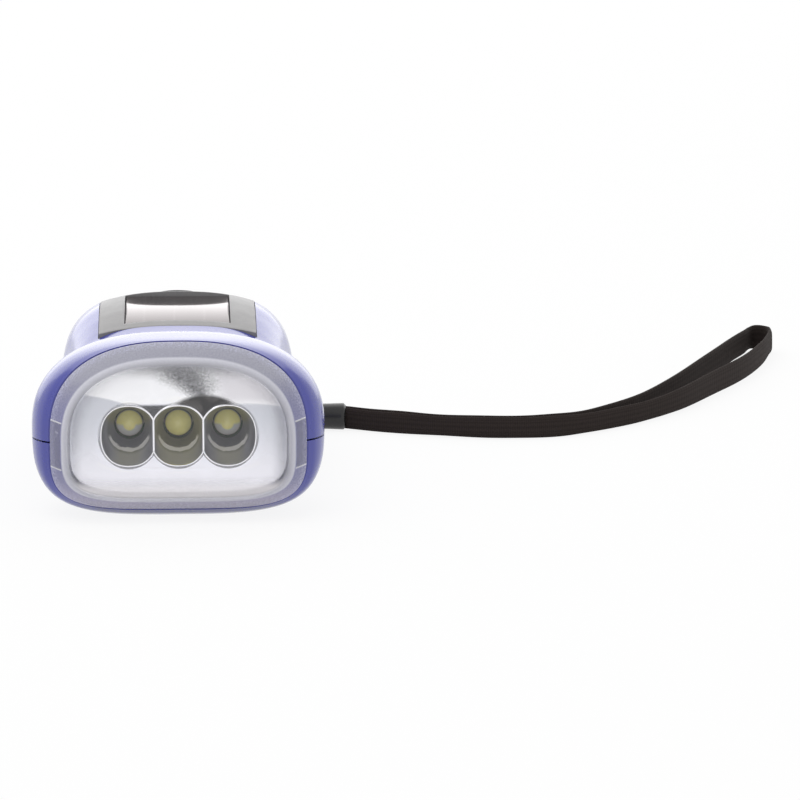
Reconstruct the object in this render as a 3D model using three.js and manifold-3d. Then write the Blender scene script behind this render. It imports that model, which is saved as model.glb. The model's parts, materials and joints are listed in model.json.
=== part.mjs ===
// A pocket torch with a hand crank: blue two-part housing, clear lens cap, chromed reflector with three
// light-emitting diodes, a solar panel on top, a crank with a folding knob under the body and a wrist strap.
// Millimetres. X points right, Y points from the lens to the tail and Z points up. The torch stands on Z = 0.
import * as THREE from 'three';
import { mergeVertices } from 'three/addons/utils/BufferGeometryUtils.js';
import Module from 'manifold-3d';

const wasm = await Module();
wasm.setup();

// Overall sizes
const torchLength = 104;
const headHalf = 26.3;
const headTop = 32.4;
const neckHalf = 20.5;
const neckTop = 29.7;
const bodyHalf = 21.8;
const bodyTop = 32.9;
const tailHalf = 4;
const tailTop = 16.6;
const tailBottom = 10.5;
const bodyBottom = 1;
const cheekPlace = 13;
const cheekMiddle = 15.5;
const chinFlat = 0.35;
const neckPlace = 28;
const crestPlace = 52;
const wall = 1.8;
const seatGap = 0.3;
const overrun = 1;
const partingHeight = 14;
const bellyHeight = 7.5;
const bellyStep = 19;

// Lens cap and reflector
const lensRimWidth = 3.4;
const lensHalf = headHalf - lensRimWidth;
const lensTop = headTop - seatGap;
const lensBottom = 1.8;
const lensMiddle = 14.5;
const lensDepth = 5.7;
const lensWall = 1.3;
const bevelInset = 2;
const bevelPlace = 1.5;
const tongueInset = 1.8;
const tongueEnd = 9.3;
const lensBoreInset = 3;
const lensDomeInset = 9.5;
const lensEdgeInset = 2.6;
const tabWidth = 8.4;
const tabThick = 1.1;
const tabEnd = 12.5;
const tabHook = 0.7;
const flangePlace = 2.9;
const flangeThick = 1;
const bowlInset = 4;
const bowlHalf = lensHalf - bowlInset;
const bowlDepth = 2.2;
const mirrorWall = 0.8;
const cupRadius = 5.4;
const cupSpacing = 8.85;
const cupHeight = 15.3;
const cupDepth = 11.7;
const cupRimWidth = 0.55;
const cupRimRise = 0.5;

// Light-emitting diodes and their board
const ledRadius = 2.5;
const ledFlangeRadius = 2.85;
const ledFlangeThick = 1;
const ledLength = 8.6;
const ledLegRadius = 0.3;
const ledLegSpacing = 2.54;
const ledLegLength = 1.9;
const ledClearance = 0.25;
const ledCellClearance = 1.25;
const ledBoardMargin = 5.35;
const ledBoardHalf = cupSpacing + ledBoardMargin;
const ledBoardHeight = 11.5;
const boardThick = 1.2;

// Solar panel
const bezelHalf = 14.5;
const bezelStart = 33.9;
const bezelEnd = 66;
const bezelThick = 2.2;
const bezelFrontArch = 1.5;
const bezelRearArch = 1.9;
const bezelArchPower = 2.5;
const bezelProud = 0.1;
const windowHalf = 9.8;
const windowStart = 36.6;
const windowEnd = 59.5;
const cellThick = 1;
const cellFrontDepth = 0.85;
const cellRearDepth = 0.9;
const seatThick = 1;
const seatMargin = 1.5;
const cellWireHole = 1.4;

// Crank and folding knob
const hubPlace = 57;
const hubRadius = 12;
const leverInset = 9.5;
const leverReach = torchLength - hubPlace - leverInset;
const leverHalf = 6.8;
const leverBottom = 0.3;
const leverClearance = 0.5;
const leverTop = bellyHeight - leverClearance;
const screwWell = 1.7;
const screwWellRadius = 3.4;
const shaftRadius = 2.5;
const shaftBottom = 3.2;
const shaftTipRadius = 1.6;
const shaftTipLength = 1.4;
const socketRoof = 2.9;
const bushRadius = 4;
const bushFlange = 5.2;
const knobPinInset = 5.3;
const knobPinPlace = leverReach - knobPinInset;
const knobPinRadius = 0.8;
const knobHeight = 3.6;
const knobRadius = 3.1;
const knobEnd = 15.8;
const blockHalf = 3.4;
const blockRound = 2.7;
const blockStart = knobPinPlace - blockRound;
const spindleRadius = 1.3;
const knobScrewHead = 2.3;
const knobScrewHeadThick = 1.2;
const slotHalf = blockHalf + seatGap;
const slotStart = knobEnd - knobScrewHeadThick - 4 * seatGap;
const slotEnd = knobPinPlace + knobRadius + seatGap;
const knobScrewShank = 0.5;
const knobScrewLength = 5;
const gripGrooves = 8;
const gripGrooveDepth = 0.35;

// Gear train
const crankModule = 0.8;
const idlerModule = 0.6;
const crankTeeth = 42;
const idlerPinionTeeth = 12;
const idlerOneTeeth = 36;
const idlerTwoTeeth = 26;
const rotorTeeth = 10;
const backlashShare = 0.14;
const toothRootShare = 1.15;
const toothTipShare = 0.9;
const pressureAngle = THREE.MathUtils.degToRad(20);
const gearHoles = 5;
const gearHoleRing = 9.4;
const gearHoleRadius = 3;
const idlerTwoTurn = THREE.MathUtils.degToRad(226);
const rotorTurn = THREE.MathUtils.degToRad(-14);
const crankGearThick = 2;
const gearThick = 1.6;
const layerGap = 0.9;
const gearBottom = bellyHeight + wall + layerGap;
const firstLayer = gearBottom + crankGearThick + layerGap + seatGap;
const secondLayer = firstLayer + gearThick + layerGap;
const idlerPinRadius = 1;
const runningGap = 0.3;
const pinHeadRadius = 1.8;
const pinHeadThick = 0.4;

// Gear plate
const plateBottom = secondLayer + gearThick + layerGap + 2 * seatGap;
const plateThick = 1.2;
const plateTop = plateBottom + plateThick;
const shaftTop = plateBottom - seatGap;
const plateFront = 38;
const plateShoulderReach = 23.5;
const plateShoulder = hubPlace + plateShoulderReach;
const plateTailReach = 34;
const plateTail = hubPlace + plateTailReach;
const plateInset = 5.3;
const plateHalf = bodyHalf - plateInset;
const plateTailHalf = 9;
const postRadius = 2.3;
const postFrontInset = 2.5;
const postFrontHalf = plateHalf - postFrontInset;
const postFrontPlace = 41;
const postRearInset = 1.8;
const postRearHalf = plateHalf - postRearInset;
const postRearReach = 2.5;
const postRearPlace = plateShoulder - postRearReach;

// Generator
const rotorShaftRadius = 0.8;
const magnetRadius = 9;
const magnetThick = 5.6;
const magnetRise = 1;
const magnetBottom = plateTop + magnetRise;
const rotorShaftOver = 0.4;
const rotorShaftTop = magnetBottom + magnetThick + rotorShaftOver;
const poleGap = 0.6;
const coreThick = 2.8;
const coreRise = 0.9;
const coreBottom = plateTop + coreRise;
const coreHeight = 3.2;
const corePadRadius = 1.3;
const corePadPlace = 53.5;
const yokePlace = 44.2;
const bobbinWall = 0.6;
const bobbinHalf = 5.6;
const flangeRise = 1.5;
const coilRise = 1.3;

// Boards, cells and switch
const cellRadius = 5.75;
const cellCount = 3;
const cellLength = 5.2;
const cellGap = 0.2;
const cellRowPlace = 33;
const cellRowHeight = bellyHeight + wall + seatGap + cellRadius;
const mainBoardHalf = 12;
const mainBoardFront = 26.4;
const mainBoardRear = 37.4;
const mainBoardRise = 1.2;
const mainBoardBottom = plateTop + mainBoardRise;
const ribThick = 1.2;
const ribInset = 0.1;
const ribHalf = mainBoardHalf - ribInset;
const capacitorRadius = 1.1;
const capacitorLength = 5;
const chipHalf = 2;
const chipHeight = 1;
const buttonReach = 24;
const buttonPlace = hubPlace + buttonReach;
const buttonRadius = 4.3;
const buttonRise = 0.8;
const buttonFlangeRadius = 5.2;
const buttonFlangeThick = 0.7;
const buttonFlangeDrop = 3.7;
const buttonStemRadius = 1.5;
const buttonCollar = 6;
const buttonCollarDrop = 0.4;
const switchHalf = 3.4;
const switchHeight = 1.9;
const plungerRadius = 1.1;
const plungerLength = 1.6;
const plungerRise = 1;
const plungerWell = 1.4;

// Housing screws
const frontScrewInset = 5.5;
const frontScrewHalf = neckHalf - frontScrewInset;
const frontScrewPlace = 30.2;
const rearScrewHalf = 10.3;
const rearScrewInset = 9.6;
const rearScrewPlace = torchLength - rearScrewInset;
const bossRadius = 2.7;
const screwRadius = 1;
const screwHeadRadius = 1.9;
const screwHeadThick = 1.2;
const screwLength = 8;
const counterbore = 1.7;
const crossWidth = 0.5;
const crossHalf = 1.15;
const crossDepth = 0.6;
const plateScrewLength = 4.5;
const plateScrewHead = 1.8;

// Strap
const strapPinInset = 6.6;
const strapPinHalf = bodyHalf - strapPinInset;
const strapPinTailInset = 11.4;
const strapPinPlace = torchLength - strapPinTailInset;
const strapPinRadius = 0.9;
const strapBlockHalf = 4;
const strapNotchBottom = 9.7;
const strapNotchTop = 12.2;
const sleeveRadius = 2.65;
const sleeveStart = new THREE.Vector3(23, 89.6, 2.7);
const sleeveEnd = new THREE.Vector3(33, 88.9, 2.7);
const stringDiameter = 1.1;
const tapeWidth = 4.1;
const tapeThick = 1.1;
const tapeHeight = 2.2;
const wireDiameter = 0.8;

// Fineness of round shapes
const outlinePoints = 32;
const roundSides = 16;
const largeSides = 28;
const smallSides = 8;
const legSides = 6;
const stringSteps = 24;
const tapeSteps = 66;
const wireSteps = 5;

// Turns a closed geometry into a solid for joining and cutting.
function solidOf(geometry) {
  const bare = geometry.clone();
  bare.deleteAttribute('normal');
  bare.deleteAttribute('uv');
  const merged = mergeVertices(bare);
  const corners = merged.index.array;
  const kept = [];
  for (let i = 0; i < corners.length; i += 3) {
    const [a, b, c] = [corners[i], corners[i + 1], corners[i + 2]];
    if (a !== b && b !== c && c !== a) kept.push(a, b, c);
  }
  return new wasm.Manifold(new wasm.Mesh({
    numProp: 3,
    vertProperties: new Float32Array(merged.getAttribute('position').array),
    triVerts: new Uint32Array(kept),
  }));
}

function geometryOf(solid) {
  const mesh = solid.getMesh();
  const geometry = new THREE.BufferGeometry();
  geometry.setAttribute('position', new THREE.BufferAttribute(mesh.vertProperties, 3));
  geometry.setIndex(new THREE.BufferAttribute(mesh.triVerts, 1));
  return geometry;
}

// A box between two values on each axis.
function block(x, y, z) {
  const geometry = new THREE.BoxGeometry(x[1] - x[0], y[1] - y[0], z[1] - z[0]);
  geometry.translate((x[0] + x[1]) / 2, (y[0] + y[1]) / 2, (z[0] + z[1]) / 2);
  return solidOf(geometry);
}

// An upright round bar between two heights.
function rod(radius, bottom, top, x = 0, y = 0, sides = roundSides) {
  const geometry = new THREE.CylinderGeometry(radius, radius, top - bottom, sides);
  geometry.rotateX(Math.PI / 2);
  geometry.translate(x, y, (bottom + top) / 2);
  return solidOf(geometry);
}

// A round bar along Y between two places.
function barAlongY(radius, from, to, x = 0, z = 0, sides = roundSides) {
  const geometry = new THREE.CylinderGeometry(radius, radius, to - from, sides);
  geometry.translate(x, (from + to) / 2, z);
  return solidOf(geometry);
}

// A round bar along X between two places.
function barAlongX(radius, from, to, y = 0, z = 0, sides = roundSides) {
  const geometry = new THREE.CylinderGeometry(radius, radius, to - from, sides);
  geometry.rotateZ(Math.PI / 2);
  geometry.translate((from + to) / 2, y, z);
  return solidOf(geometry);
}

// A flat outline of [x, y] points raised between two heights.
function raised(points, bottom, top) {
  const shape = new THREE.Shape(points.map(([x, y]) => new THREE.Vector2(x, y)));
  const geometry = new THREE.ExtrudeGeometry(shape, { depth: top - bottom, bevelEnabled: false });
  geometry.translate(0, 0, bottom);
  return solidOf(geometry);
}

// A turned shape about Y, from [radius, place] points that start and end on the axis.
function turnedAlongY(profile, x, z, sides = roundSides) {
  const points = profile.map(([radius, place]) => new THREE.Vector2(radius, place));
  const geometry = new THREE.LatheGeometry(points, sides);
  geometry.translate(x, 0, z);
  return solidOf(geometry);
}

// A skin over rings of points, the first ring nearest the lens, closed by a fan at each end.
function loft(rings) {
  const count = rings[0].length;
  const position = [];
  const index = [];
  for (const ring of rings) ring.forEach((p) => position.push(p.x, p.y, p.z));
  for (let i = 0; i < rings.length - 1; i += 1) {
    for (let j = 0; j < count; j += 1) {
      const [a, b] = [i * count + j, i * count + (j + 1) % count];
      index.push(a, a + count, b + count, a, b + count, b);
    }
  }
  for (const last of [false, true]) {
    const ring = rings[last ? rings.length - 1 : 0];
    const first = last ? (rings.length - 1) * count : 0;
    const middle = ring.reduce((sum, p) => sum.add(p), new THREE.Vector3()).divideScalar(count);
    const centre = position.length / 3;
    position.push(middle.x, middle.y, middle.z);
    for (let j = 0; j < count; j += 1) {
      const [a, b] = [first + j, first + (j + 1) % count];
      index.push(centre, ...(last ? [b, a] : [a, b]));
    }
  }
  const geometry = new THREE.BufferGeometry();
  geometry.setAttribute('position', new THREE.Float32BufferAttribute(position, 3));
  geometry.setIndex(index);
  return solidOf(geometry);
}

// One closed outline across the torch: a superellipse with its own upper and lower halves.
function outlineRing(outline, inset = 0) {
  const ring = [];
  for (let i = 0; i < outlinePoints; i += 1) {
    const angle = (i / outlinePoints) * 2 * Math.PI;
    const upper = Math.sin(angle) >= 0;
    const power = 2 / (upper ? outline.upperPower : outline.lowerPower);
    const rise = upper ? outline.top - outline.middle : outline.middle - outline.bottom;
    const across = Math.sign(Math.cos(angle)) * Math.abs(Math.cos(angle)) ** power;
    const up = Math.sign(Math.sin(angle)) * Math.abs(Math.sin(angle)) ** power;
    ring.push(new THREE.Vector3(
      across * (outline.half - inset),
      outline.place,
      outline.middle + up * (rise - inset),
    ));
  }
  return ring;
}

// A tube, wire or flat tape along a list of points.
function sweep(points, across, along, steps, sides = 8) {
  const path = new THREE.CatmullRomCurve3(points, false, 'centripetal');
  const section = new THREE.Shape();
  for (let i = 0; i < sides; i += 1) {
    const angle = ((i + 0.5) / sides) * 2 * Math.PI;
    const point = [Math.cos(angle) * across / 2, Math.sin(angle) * along / 2];
    if (i === 0) section.moveTo(...point);
    else section.lineTo(...point);
  }
  return solidOf(new THREE.ExtrudeGeometry(section, { steps, extrudePath: path }));
}

const mix = (from, to, share) => from + (to - from) * share;

// Housing: four main outlines and how far the skin has gone from one to the next at each place between them
const mouthPlace = lensDepth + seatGap;
const mouthOutline = {
  place: mouthPlace,
  half: lensHalf + seatGap,
  middle: lensMiddle,
  top: lensTop + seatGap / 2,
  bottom: lensBottom - seatGap,
  upperPower: 2.5,
  lowerPower: 4,
};
const cheekOutline = {
  place: cheekPlace,
  half: headHalf,
  middle: cheekMiddle,
  top: headTop,
  bottom: -chinFlat,
  upperPower: 2.45,
  lowerPower: 2.85,
};
const neckOutline = {
  place: neckPlace,
  half: neckHalf,
  middle: lensMiddle,
  top: neckTop,
  bottom: bodyBottom,
  upperPower: 2.8,
  lowerPower: 3,
};
const crestOutline = {
  place: crestPlace,
  half: bodyHalf,
  middle: lensMiddle,
  top: bodyTop,
  bottom: bodyBottom,
  upperPower: 3.1,
  lowerPower: 3.1,
};
const tailOutline = {
  place: torchLength,
  half: tailHalf,
  middle: lensMiddle,
  top: tailTop,
  bottom: tailBottom,
  upperPower: 2.4,
  lowerPower: 2.4,
};

// Each row: share of the way along, of the change in width, in top and in bottom.
const skinShares = [
  [mouthOutline, cheekOutline, [
    [0, 0, 0, 0], [0.21, 0.45, 0.7, 0.5], [0.5, 0.8, 0.95, 0.83], [0.78, 0.97, 1, 0.97], [1, 1, 1, 1],
  ]],
  [cheekOutline, neckOutline, [
    [0.17, 0.04, 0.04, 0], [0.33, 0.19, 0.18, 0], [0.53, 0.47, 0.46, 0.5], [0.73, 0.75, 0.76, 0.8],
    [1, 1, 1, 1],
  ]],
  [neckOutline, crestOutline, [
    [0.21, 0.05, 0.14, 1], [0.42, 0.2, 0.46, 1], [0.7, 0.55, 0.82, 1], [1, 1, 1, 1],
  ]],
  [crestOutline, tailOutline, [
    [0.115, 0, 0.012, 0.01], [0.27, 0.01, 0.09, 0.02], [0.44, 0.045, 0.2, 0.05], [0.615, 0.11, 0.345, 0.1],
    [0.75, 0.2, 0.48, 0.22], [0.86, 0.33, 0.62, 0.4], [0.94, 0.53, 0.77, 0.62], [0.985, 0.78, 0.91, 0.85],
    [1, 1, 1, 1],
  ]],
];

const skinOutlines = skinShares.flatMap(([from, to, rows]) => rows.map(([along, width, top, bottom]) => ({
  place: mix(from.place, to.place, along),
  half: mix(from.half, to.half, width),
  middle: mix(from.middle, to.middle, along),
  top: mix(from.top, to.top, top),
  bottom: mix(from.bottom, to.bottom, bottom),
  upperPower: mix(from.upperPower, to.upperPower, along),
  lowerPower: mix(from.lowerPower, to.lowerPower, along),
})));

// Height of the housing's crown at a place along it.
function crownAt(place) {
  const next = skinOutlines.findIndex((outline) => outline.place >= place);
  const [before, after] = [skinOutlines[Math.max(next - 1, 0)], skinOutlines[Math.max(next, 1)]];
  return mix(before.top, after.top, (place - before.place) / (after.place - before.place));
}

const ground = block([-headHalf, headHalf], [0, torchLength], [-overrun, 0]);
const skin = loft(skinOutlines.map((outline) => outlineRing(outline))).subtract(ground);

// The hollow runs a wall's thickness inside the skin and opens at the mouth.
function housingHollow() {
  const rings = skinOutlines.map((outline) => {
    const past = Math.max(outline.place - crestPlace, 0);
    const shrink = (torchLength - wall - crestPlace) / (torchLength - crestPlace);
    const place = Math.min(outline.place, crestPlace) + past * shrink;
    return outlineRing({ ...outline, place }, wall);
  });
  const opening = outlineRing({ ...skinOutlines[0], place: mouthPlace - overrun }, wall);
  const floor = block([-headHalf, headHalf], [bellyStep - wall, torchLength], [-overrun, bellyHeight + wall]);
  return loft([opening, ...rings]).subtract(floor);
}

const belly = block(
  [-headHalf - overrun, headHalf + overrun],
  [bellyStep, torchLength + overrun],
  [-overrun, bellyHeight],
);
const shell = skin.subtract(housingHollow()).subtract(belly);
const upperHalf = block(
  [-headHalf - overrun, headHalf + overrun],
  [0, torchLength + overrun],
  [partingHeight + seatGap / 2, bodyTop + overrun],
);
const lowerHalf = block(
  [-headHalf - overrun, headHalf + overrun],
  [0, torchLength + overrun],
  [-overrun, partingHeight - seatGap / 2],
);

const screwPlaces = [
  [-frontScrewHalf, frontScrewPlace],
  [frontScrewHalf, frontScrewPlace],
  [-rearScrewHalf, rearScrewPlace],
  [rearScrewHalf, rearScrewPlace],
];
const postPlaces = [
  [-postFrontHalf, postFrontPlace],
  [postFrontHalf, postFrontPlace],
  [-postRearHalf, postRearPlace],
  [postRearHalf, postRearPlace],
];

// Gear train places, each gear in mesh with the one before it
const idlerOnePlace = [0, hubPlace + crankModule * (crankTeeth + idlerPinionTeeth) / 2];
const idlerTwoReach = idlerModule * (idlerOneTeeth + idlerPinionTeeth) / 2;
const idlerTwoPlace = [
  idlerOnePlace[0] + idlerTwoReach * Math.cos(idlerTwoTurn),
  idlerOnePlace[1] + idlerTwoReach * Math.sin(idlerTwoTurn),
];
const rotorReach = idlerModule * (idlerTwoTeeth + rotorTeeth) / 2;
const rotorPlace = [
  idlerTwoPlace[0] + rotorReach * Math.cos(rotorTurn),
  idlerTwoPlace[1] + rotorReach * Math.sin(rotorTurn),
];
const idlerBossTop = gearBottom - runningGap;
const idlerBossRadius = idlerPinRadius + wall;
const idlerPinBottom = bellyHeight + overrun;
const screwTop = bellyHeight + counterbore + screwLength;

function lowerHousing() {
  let solid = shell.intersect(lowerHalf);
  for (const [x, y] of screwPlaces) {
    const boss = rod(bossRadius, bellyHeight, partingHeight - seatGap / 2, x, y, smallSides);
    solid = solid.add(boss.intersect(skin));
  }
  for (const [x, y] of postPlaces) {
    const post = rod(postRadius, bellyHeight, plateBottom - seatGap, x, y, smallSides);
    solid = solid.add(post);
    solid = solid.subtract(rod(screwRadius, plateBottom - plateScrewLength, plateBottom, x, y, smallSides));
  }
  for (const side of [-1, 1]) {
    const edges = [side * ribHalf, side * (ribHalf - ribThick)].sort((a, b) => a - b);
    const ribSpan = [mainBoardFront + ribThick, mainBoardRear - ribThick];
    solid = solid.add(block(edges, ribSpan, [bellyHeight + wall / 2, mainBoardBottom - seatGap]));
  }
  solid = solid.add(rod(idlerBossRadius, bellyHeight, idlerBossTop, ...idlerOnePlace, smallSides));
  solid = solid.add(strapBlock()).subtract(strapNotch());
  const pinHole = idlerPinRadius + seatGap;
  const pinSpan = [idlerPinBottom - seatGap, idlerBossTop + overrun];
  solid = solid.subtract(rod(pinHole, ...pinSpan, ...idlerOnePlace, smallSides));
  for (const [x, y] of screwPlaces) {
    const wellRadius = screwHeadRadius + seatGap;
    const well = rod(wellRadius, bellyHeight - overrun, bellyHeight + counterbore, x, y, smallSides);
    const hole = rod(screwRadius + seatGap, bellyHeight, partingHeight, x, y, smallSides);
    solid = solid.subtract(well).subtract(hole);
  }
  solid = solid.subtract(rod(bushRadius + seatGap, 0, bellyHeight + wall + overrun, 0, hubPlace));
  return solid.subtract(cellRowSpace());
}

// The corner block that holds the strap's pin.
function strapBlock() {
  const x = [strapPinHalf - strapBlockHalf / 2, strapPinHalf + strapBlockHalf];
  const y = [strapPinPlace - strapBlockHalf, strapPinPlace + strapBlockHalf];
  return block(x, y, [bellyHeight, partingHeight - seatGap / 2]).intersect(skin);
}

// The notch that the string goes through, and the hole for the pin.
function strapNotch() {
  const notch = block(
    [strapPinHalf - strapBlockHalf / 2 - overrun / 2, strapPinHalf + 2 * strapBlockHalf],
    [strapPinPlace - strapBlockHalf / 2 - seatGap, strapPinPlace + strapBlockHalf / 2 + seatGap],
    [strapNotchBottom, strapNotchTop],
  );
  const hole = rod(
    strapPinRadius + seatGap,
    bellyHeight + wall / 2,
    partingHeight,
    strapPinHalf,
    strapPinPlace,
    smallSides,
  );
  return notch.add(hole);
}

function cellRowSpace() {
  const half = cellCount * (cellLength + cellGap) / 2 + seatGap;
  return barAlongX(cellRadius + seatGap, -half, half, cellRowPlace, cellRowHeight);
}

// How far the solar panel falls from its middle to its edge, at a place along it.
function archAt(place) {
  const along = (place - bezelStart) / (crestPlace - bezelStart);
  return mix(bezelFrontArch, bezelRearArch, THREE.MathUtils.clamp(along, 0, 1));
}

// A slab that follows the crown between two depths below it, arched across.
function crownSlab(half, from, to, upperDrop, lowerDrop) {
  const places = skinOutlines.map((outline) => outline.place).filter((place) => place > from && place < to);
  const rings = [from, ...places, to].map((place) => {
    const crown = crownAt(place);
    const acrossShares = [1, 0.75, 0.4, 0, -0.4, -0.75, -1];
    const fall = (share) => archAt(place) * Math.abs(share) ** bezelArchPower;
    const upper = acrossShares.map((share) => [share * half, crown - upperDrop - fall(share)]);
    const lower = acrossShares.map((share) => [-share * half, crown - lowerDrop - fall(share)]);
    return [...upper, ...lower].map(([x, z]) => new THREE.Vector3(x, place, z));
  });
  return loft(rings);
}

// A flat slab that lies in the window, from a height above the cell's face to a depth below it.
function cellSlab(margin, above, below) {
  const half = windowHalf - seatGap + margin;
  const ends = [
    [windowStart + seatGap, cellFrontDepth, -margin],
    [windowEnd - seatGap, cellRearDepth, margin],
  ];
  return loft(ends.map(([place, depth, reach]) => {
    const face = crownAt(place) - depth;
    const corners = [[half, face - below], [half, face + above], [-half, face + above], [-half, face - below]];
    return corners.map(([x, z]) => new THREE.Vector3(x, place + reach, z));
  }));
}

function upperHousing() {
  let solid = shell.intersect(upperHalf);
  for (const [x, y] of screwPlaces) {
    const boss = rod(bossRadius, partingHeight + seatGap / 2, bodyTop, x, y, smallSides).intersect(skin);
    const hole = rod(screwRadius + seatGap, partingHeight, screwTop + seatGap, x, y, smallSides);
    solid = solid.add(boss).subtract(hole);
  }
  const pocketDepth = bezelThick + seatGap;
  const seat = crownSlab(
    bezelHalf + seatMargin,
    bezelStart - seatMargin,
    bezelEnd + seatMargin,
    0,
    pocketDepth + seatThick,
  );
  solid = solid.add(seat.intersect(skin));
  solid = solid.subtract(crownSlab(
    bezelHalf + seatGap,
    bezelStart - seatGap,
    bezelEnd + seatGap,
    -2 * overrun,
    pocketDepth,
  ));
  solid = solid.subtract(cellSlab(seatGap, bezelThick, cellThick + seatGap));
  const wirePlace = windowStart + 2 * cellWireHole;
  solid = solid.subtract(rod(cellWireHole, partingHeight, bodyTop, 0, wirePlace, smallSides));
  const collarFloor = crownAt(buttonPlace) - buttonCollarDrop;
  solid = solid.subtract(rod(buttonCollar, collarFloor, bodyTop, 0, buttonPlace));
  return solid.subtract(rod(buttonRadius + seatGap, partingHeight, bodyTop, 0, buttonPlace));
}

// Lens cap
const lensOutline = {
  half: lensHalf,
  middle: lensMiddle,
  top: lensTop,
  bottom: lensBottom,
  upperPower: 2.5,
  lowerPower: 4.2,
};
const lensRing = (place, inset) => outlineRing({ ...lensOutline, place }, inset);

function lensCap() {
  const outside = loft([
    lensRing(0, lensDomeInset),
    lensRing(bevelPlace / 4, lensDomeInset / 2),
    lensRing(bevelPlace / 2, lensEdgeInset),
    lensRing(bevelPlace, bevelInset),
    lensRing(lensDepth, 0),
  ]);
  const tongue = loft([lensRing(bevelPlace, lensBoreInset), lensRing(lensDepth - overrun, tongueInset),
    lensRing(tongueEnd, tongueInset)]);
  const bore = loft([
    lensRing(lensWall, lensDomeInset),
    lensRing(lensWall + bevelPlace / 4, lensDomeInset / 2),
    lensRing(lensWall + bevelPlace, lensBoreInset),
    lensRing(tabEnd + overrun, lensBoreInset),
  ]);
  let solid = outside.add(tongue).subtract(bore);
  const tabZ = [partingHeight - tabWidth / 2, partingHeight + tabWidth / 2];
  const tabOuter = lensHalf - tongueInset;
  for (const side of [-1, 1]) {
    const arm = [side * tabOuter, side * (tabOuter - tabThick)].sort((a, b) => a - b);
    const hook = [side * (tabOuter + tabHook), side * (tabOuter - tabThick)].sort((a, b) => a - b);
    solid = solid.add(block(arm, [lensDepth + overrun, tabEnd], tabZ));
    solid = solid.add(block(hook, [tabEnd - 2 * tabHook, tabEnd], tabZ));
  }
  return solid;
}

// Reflector: a shallow bowl that runs into three round cups
const cupPlaces = [-cupSpacing, 0, cupSpacing];
const cupFace = flangePlace + bowlDepth;
const bowlOutline = {
  half: bowlHalf,
  middle: lensMiddle,
  top: lensTop - lensHalf + bowlHalf,
  bottom: lensBottom + lensHalf - bowlHalf,
  upperPower: 2.5,
  lowerPower: 4,
};
const cupsOutline = {
  half: cupSpacing + cupRadius + cupRimWidth,
  middle: cupHeight,
  top: cupHeight + cupRadius + cupRimWidth,
  bottom: cupHeight - cupRadius - cupRimWidth,
  upperPower: 3,
  lowerPower: 3,
};

function bowlRing(share, offset, setback) {
  const outline = { place: flangePlace + bowlDepth * Math.sin(share * Math.PI / 2) + setback };
  for (const key of ['half', 'middle', 'top', 'bottom', 'upperPower', 'lowerPower']) {
    outline[key] = mix(bowlOutline[key], cupsOutline[key], share);
  }
  return outlineRing(outline, -offset);
}

function reflector() {
  const bowlShares = [0, 0.12, 0.3, 0.55, 1];
  const flange = loft([lensRing(flangePlace, lensBoreInset + seatGap),
    lensRing(flangePlace + flangeThick, lensBoreInset + seatGap)]);
  const outerBowl = loft(bowlShares.map((share) => bowlRing(share, mirrorWall, mirrorWall)));
  const mouth = outlineRing({ ...bowlOutline, place: flangePlace - overrun });
  const innerBowl = loft([mouth, ...bowlShares.map((share) => bowlRing(share, 0, 0))]);
  let solid = flange.add(outerBowl).subtract(innerBowl);
  const cupEnd = cupFace + cupDepth;
  const holeRadius = ledRadius + ledClearance;
  for (const x of cupPlaces) {
    const outer = barAlongY(cupRadius + mirrorWall, cupFace, cupEnd, x, cupHeight);
    const rim = barAlongY(cupRadius + cupRimWidth, cupFace - cupRimRise, cupFace + overrun, x, cupHeight);
    solid = solid.add(outer).add(rim);
  }
  const cupShares = [[0, 1], [0.3, 0.91], [0.65, 0.74], [1, holeRadius / cupRadius]];
  for (const x of cupPlaces) {
    const profile = [
      [0, cupEnd + overrun],
      [holeRadius, cupEnd + overrun],
      ...cupShares.toReversed().map(([depth, width]) => [cupRadius * width, cupFace + cupDepth * depth]),
      [cupRadius, cupFace - overrun],
      [0, cupFace - overrun],
    ];
    solid = solid.subtract(turnedAlongY(profile.toReversed(), x, cupHeight));
  }
  return solid;
}

// Light-emitting diode, its dome towards the lens and its two legs through the board
const ledBoardRear = cellRowPlace - cellRadius - ledCellClearance;
const ledBoardFront = ledBoardRear - boardThick;
const ledBase = ledBoardFront - seatGap;
const ledTip = ledBase - ledLength;

function led() {
  const dome = [];
  const domeSteps = 4;
  for (let i = 0; i <= domeSteps; i += 1) {
    const angle = (i / domeSteps) * Math.PI / 2;
    dome.push([ledRadius * Math.sin(angle), ledTip + ledRadius * (1 - Math.cos(angle))]);
  }
  const profile = [
    ...dome,
    [ledRadius, ledBase - ledFlangeThick],
    [ledFlangeRadius, ledBase - ledFlangeThick],
    [ledFlangeRadius, ledBase],
    [0, ledBase],
  ];
  let solid = turnedAlongY(profile, 0, 0, 2 * legSides);
  for (const side of [-1, 1]) {
    const x = side * ledLegSpacing / 2;
    const legSpan = [ledBase - ledFlangeThick / 2, ledBase + ledLegLength];
    solid = solid.add(barAlongY(ledLegRadius, ...legSpan, x, 0, legSides));
  }
  return solid;
}

function ledBoard() {
  const bottom = bellyHeight + wall + seatGap;
  let solid = block(
    [-ledBoardHalf, ledBoardHalf],
    [ledBoardFront, ledBoardFront + boardThick],
    [bottom, bottom + ledBoardHeight],
  );
  for (const x of cupPlaces) {
    for (const side of [-1, 1]) {
      const leg = x + side * ledLegSpacing / 2;
      const hole = barAlongY(
        ledLegRadius + seatGap / 2,
        ledBoardFront - overrun,
        ledBoardFront + boardThick + overrun,
        leg,
        cupHeight,
        legSides,
      );
      solid = solid.subtract(hole);
    }
  }
  return solid;
}

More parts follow.
